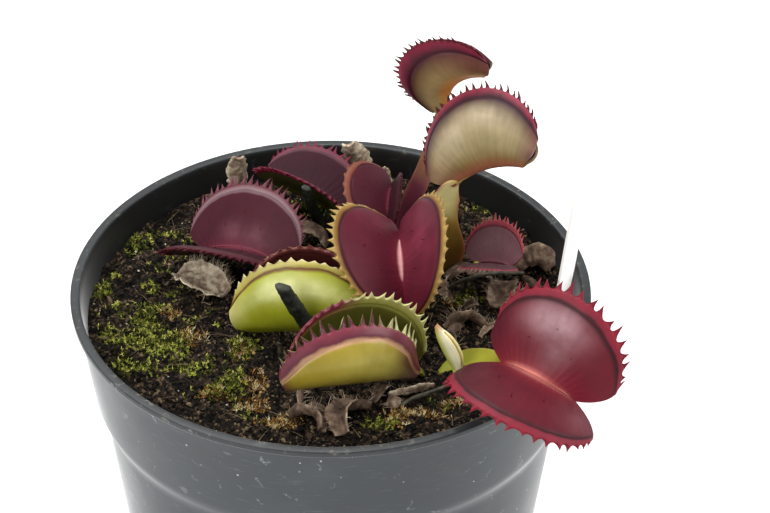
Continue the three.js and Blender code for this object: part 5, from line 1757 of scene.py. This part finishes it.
def withered_leaf():
    """Dry dead leaf: matt, IOR 1.35, grey-brown to pale tan in soft blotches, and rough with a
    fine grain. Its own draw makes it darker or paler."""
    material, tree = new_material("withered_leaf")
    place = add_node(tree, "TexCoord").outputs["Object"]
    draw = add_node(tree, "Attribute", attribute_name="draw").outputs["Fac"]
    blotch = add_node(tree, "TexNoise", {
        "Vector": place, "Scale": per_mm(1.6), "Detail": 6, "Roughness": 0.65,
    })
    moved = add_node(tree, "MapRange", {
        "Value": blotch.outputs["Fac"], "From Min": 0.25, "From Max": 0.75, "To Min": -0.38, "To Max": 0.3,
    })
    level = add_node(tree, "Math", {0: draw, 1: moved.outputs[0]}, operation="ADD")
    body = add_node(tree, "ValToRGB", {"Fac": level.outputs[0]}, stops=[
        (0.0, "#1a1410"), (0.25, "#382b22"), (0.5, "#624e40"), (0.75, "#907c68"), (1.0, "#cbbda4"),
    ])
    fine = add_node(tree, "TexNoise", {"Vector": place, "Scale": per_mm(0.45), "Detail": 4})
    bump = add_node(tree, "Bump", {
        "Height": fine.outputs["Fac"], "Strength": 0.7, "Distance": 0.12 * MM,
    })
    surface = add_node(tree, "BsdfPrincipled", {
        "Base Color": body.outputs["Color"], "Roughness": 0.78, "IOR": 1.35, "Normal": bump.outputs[0],
    })
    add_node(tree, "OutputMaterial", {"Surface": surface.outputs[0]})
    return material


withered = withered_leaf()
for seed, (name, dry) in enumerate(DRY_LEAVES.items()):
    make_piece(name.replace("dry_leaf", "withered"), dry_leaf_shells(dry, seed), withered,
               nodes=[name])

# %% Scraps of dead leaf
# The middle of each scrap, x and y in mm. Its turn, length and tone are drawn.

SCRAPS = (
    (19.9, 2.5), (24.2, -0.4), (24, -4.7), (21.3, -7.5), (19.1, 5.4), (26.2, 8.8), (35.4, 6.6),
    (33.8, 3.4), (28, 4), (22.4, 9.4), (-5.2, -25.2), (-2.2, -28.4), (8.2, -24.7), (-22.2, 11),
    (-3.4, 23.5), (-9.5, 22.5), (20.4, -10.6), (27.4, -6.8), (31.5, -9), (10.4, -26.6),
    (24.6, 14), (16.8, 14.6),
)
# Each stop of a scrap: its share of the length, its height and its share of the width
SCRAP_STOPS = ((-1, 0.5, 0.5), (-0.35, 1.1, 1), (0.35, 1.3, 0.9), (1, 0.6, 0.35))


def scrap_of_leaf(generator, x, y, seed):
    """A short dry leaf, four stops along a drawn direction, with a few dried teeth."""
    turn = generator.uniform(0, 2 * math.pi)
    step = generator.uniform(1.4, 2.8) * np.array([math.cos(turn), math.sin(turn)])
    wide = generator.uniform(0.6, 1.3)
    stops = [[x + share * step[0], y + share * step[1], height, half * wide]
             for share, height, half in SCRAP_STOPS]
    dry = {"stops": stops, "cup": generator.uniform(-0.7, 0.9), "shade": generator.uniform(0.3, 0.6),
           "across": [-math.sin(turn), math.cos(turn), 0.2], "hairs": 10}
    return dry_leaf_shells(dry, seed, 6, 9)


scrap_draws = np.random.default_rng(31)
scraps = [shell for k, (x, y) in enumerate(SCRAPS) for shell in scrap_of_leaf(scrap_draws, x, y, k)]
withered_trap = {
    "stops": [[19.6, -6.8, 0.8, 1], [21.8, -5.8, 2, 1.7], [24.6, -5.4, 2, 1.6], [26.8, -6.2, 0.8, 0.8]],
    "cup": 0.8, "across": [0.1, -0.7, 0.6], "shade": 0.5, "hairs": 40,
}
make_piece("leaf_litter", scraps + dry_leaf_shells(withered_trap, 7), withered)

# %% Stumps and dry stalks
# A stop is x, y, z and the radius.

STUMPS = {
    "stump_front": [[-2.8, -12.4, 61, 1.2], [-2.9, -12.6, 67, 1.3], [-3.6, -13.6, 72.6, 1.35],
                    [-5.8, -14.9, 78.4, 1.3], [-7.9, -15.5, 83, 1.15]],
    "stump_back": [[-1.2, 21, 61, 0.9], [-1.3, 21, 67, 1], [-2.2, 20.4, 71.6, 1.05],
                   [-3.5, 19.2, 75.6, 0.95], [-4.3, 18.1, 79.8, 0.75]],
    "dry_stalk_thin": [[-8.6, -14.6, 62, 0.4], [-8.6, -14.6, 67, 0.4], [-8.8, -14.4, 70.6, 0.35]],
    "dry_stalk_right": [[19.6, 4.6, 63, 0.45], [20.3, 4.2, 67.6, 0.45], [21.2, 2.4, 70.2, 0.42],
                        [23.6, -0.1, 73.5, 0.38], [26.6, -0.8, 75, 0.36], [30.4, -0.9, 75.4, 0.32],
                        [33, -0.7, 75.2, 0.28]],
    "dry_stalk_front": [[10.4, -27.8, 65, 0.36], [12.4, -27.2, 68, 0.4], [17.2, -25.6, 69.2, 0.38],
                        [21.4, -23.6, 69.6, 0.3]],
}


STUMP_SIDES = 16
CAP_RINGS = 5
CUT_SLANT, CUT_TURN = 0.9, 2.6


def stump_shell(stops, seed):
    """A round rod whose radius swells and shrinks by noise. The last rings shrink as a quarter
    circle and close it, and a slant grows towards them, as of a cut across the stalk."""
    path = smooth_path(stops, 12)
    along, across, through = path_axes(path[:, :3], [0.9, -0.3, 0.1])
    dome = np.linspace(0, 1, CAP_RINGS + 1)[1:, None]
    cap = path[-1, :3] + along[-1] * 0.8 * path[-1, 3] * np.sin(dome * math.pi / 2)
    centre = np.concatenate([path[:, :3], cap])
    radius = np.concatenate([path[:, 3], path[-1, 3] * np.sqrt(1.02 - dome[:, 0] ** 2)])
    across = np.concatenate([across, np.repeat(across[-1:], CAP_RINGS, 0)])
    through = np.concatenate([through, np.repeat(through[-1:], CAP_RINGS, 0)])
    angle = round_angles(STUMP_SIDES)
    row = np.arange(len(centre))[:, None] + 0 * angle
    swell = value_noise(row / 2, 3 * np.sin(angle) + 3 + 0 * row, 1.0, 90 + seed)
    radius = radius[:, None] * (1 + 0.12 * swell)
    slant = np.clip(5 * row / row.max() - 4, 0, 1) * np.cos(angle - CUT_TURN)
    slant = CUT_SLANT * slant * radius
    rings = (centre[:, None] + across[:, None] * (radius * np.cos(angle))[..., None]
             + through[:, None] * (radius * np.sin(angle))[..., None] + along[-1] * slant[..., None])
    return rod_shell(rings, up=row / row.max())


print("stumps and dry stalks:", len(STUMPS))

# %% Old stalks


def old_stalk(name, tones, top_colour):
    """A dead stalk: three tones drawn by a grain, a little greasy, and paler at its cut top."""
    material, tree = new_material(name)
    place = add_node(tree, "TexCoord").outputs["Object"]
    up = add_node(tree, "Attribute", attribute_name="up").outputs["Fac"]
    grain = add_node(tree, "TexNoise", {"Vector": place, "Scale": per_mm(0.9), "Detail": 5})
    stops = list(zip((0.35, 0.55, 0.75), tones))
    body = add_node(tree, "ValToRGB", {"Fac": grain.outputs["Fac"]}, stops=stops)
    top = add_node(tree, "MapRange", {
        "Value": up, "From Min": 0.9, "From Max": 1.0, "To Max": 0.35,
    })
    body = add_node(tree, "Mix", {
        0: top.outputs[0], MIX_A: body.outputs["Color"], MIX_B: top_colour,
    }, data_type="RGBA")
    bump = add_node(tree, "Bump", {"Height": grain.outputs["Fac"], "Strength": 0.5, "Distance": 0.1 * MM})
    surface = add_node(tree, "BsdfPrincipled", {
        "Base Color": body.outputs[MIX_RESULT], "Roughness": 0.5, "IOR": 1.4, "Normal": bump.outputs[0],
    })
    add_node(tree, "OutputMaterial", {"Surface": surface.outputs[0]})
    return material


rotted = old_stalk("rotted_stalk", ("#0b0d0c", "#1a1e1a", "#34352c"), "#55554a")
dried = old_stalk("dried_stalk", ("#221f18", "#3c382c", "#5a5342"), "#5a5342")
for seed, (name, stops) in enumerate(STUMPS.items()):
    piece_name = name.replace("stump", "flower_stump").replace("dry_stalk", "withered_stalk")
    make_piece(piece_name, [stump_shell(stops, seed)], rotted if "stump" in name else dried,
               nodes=[name])
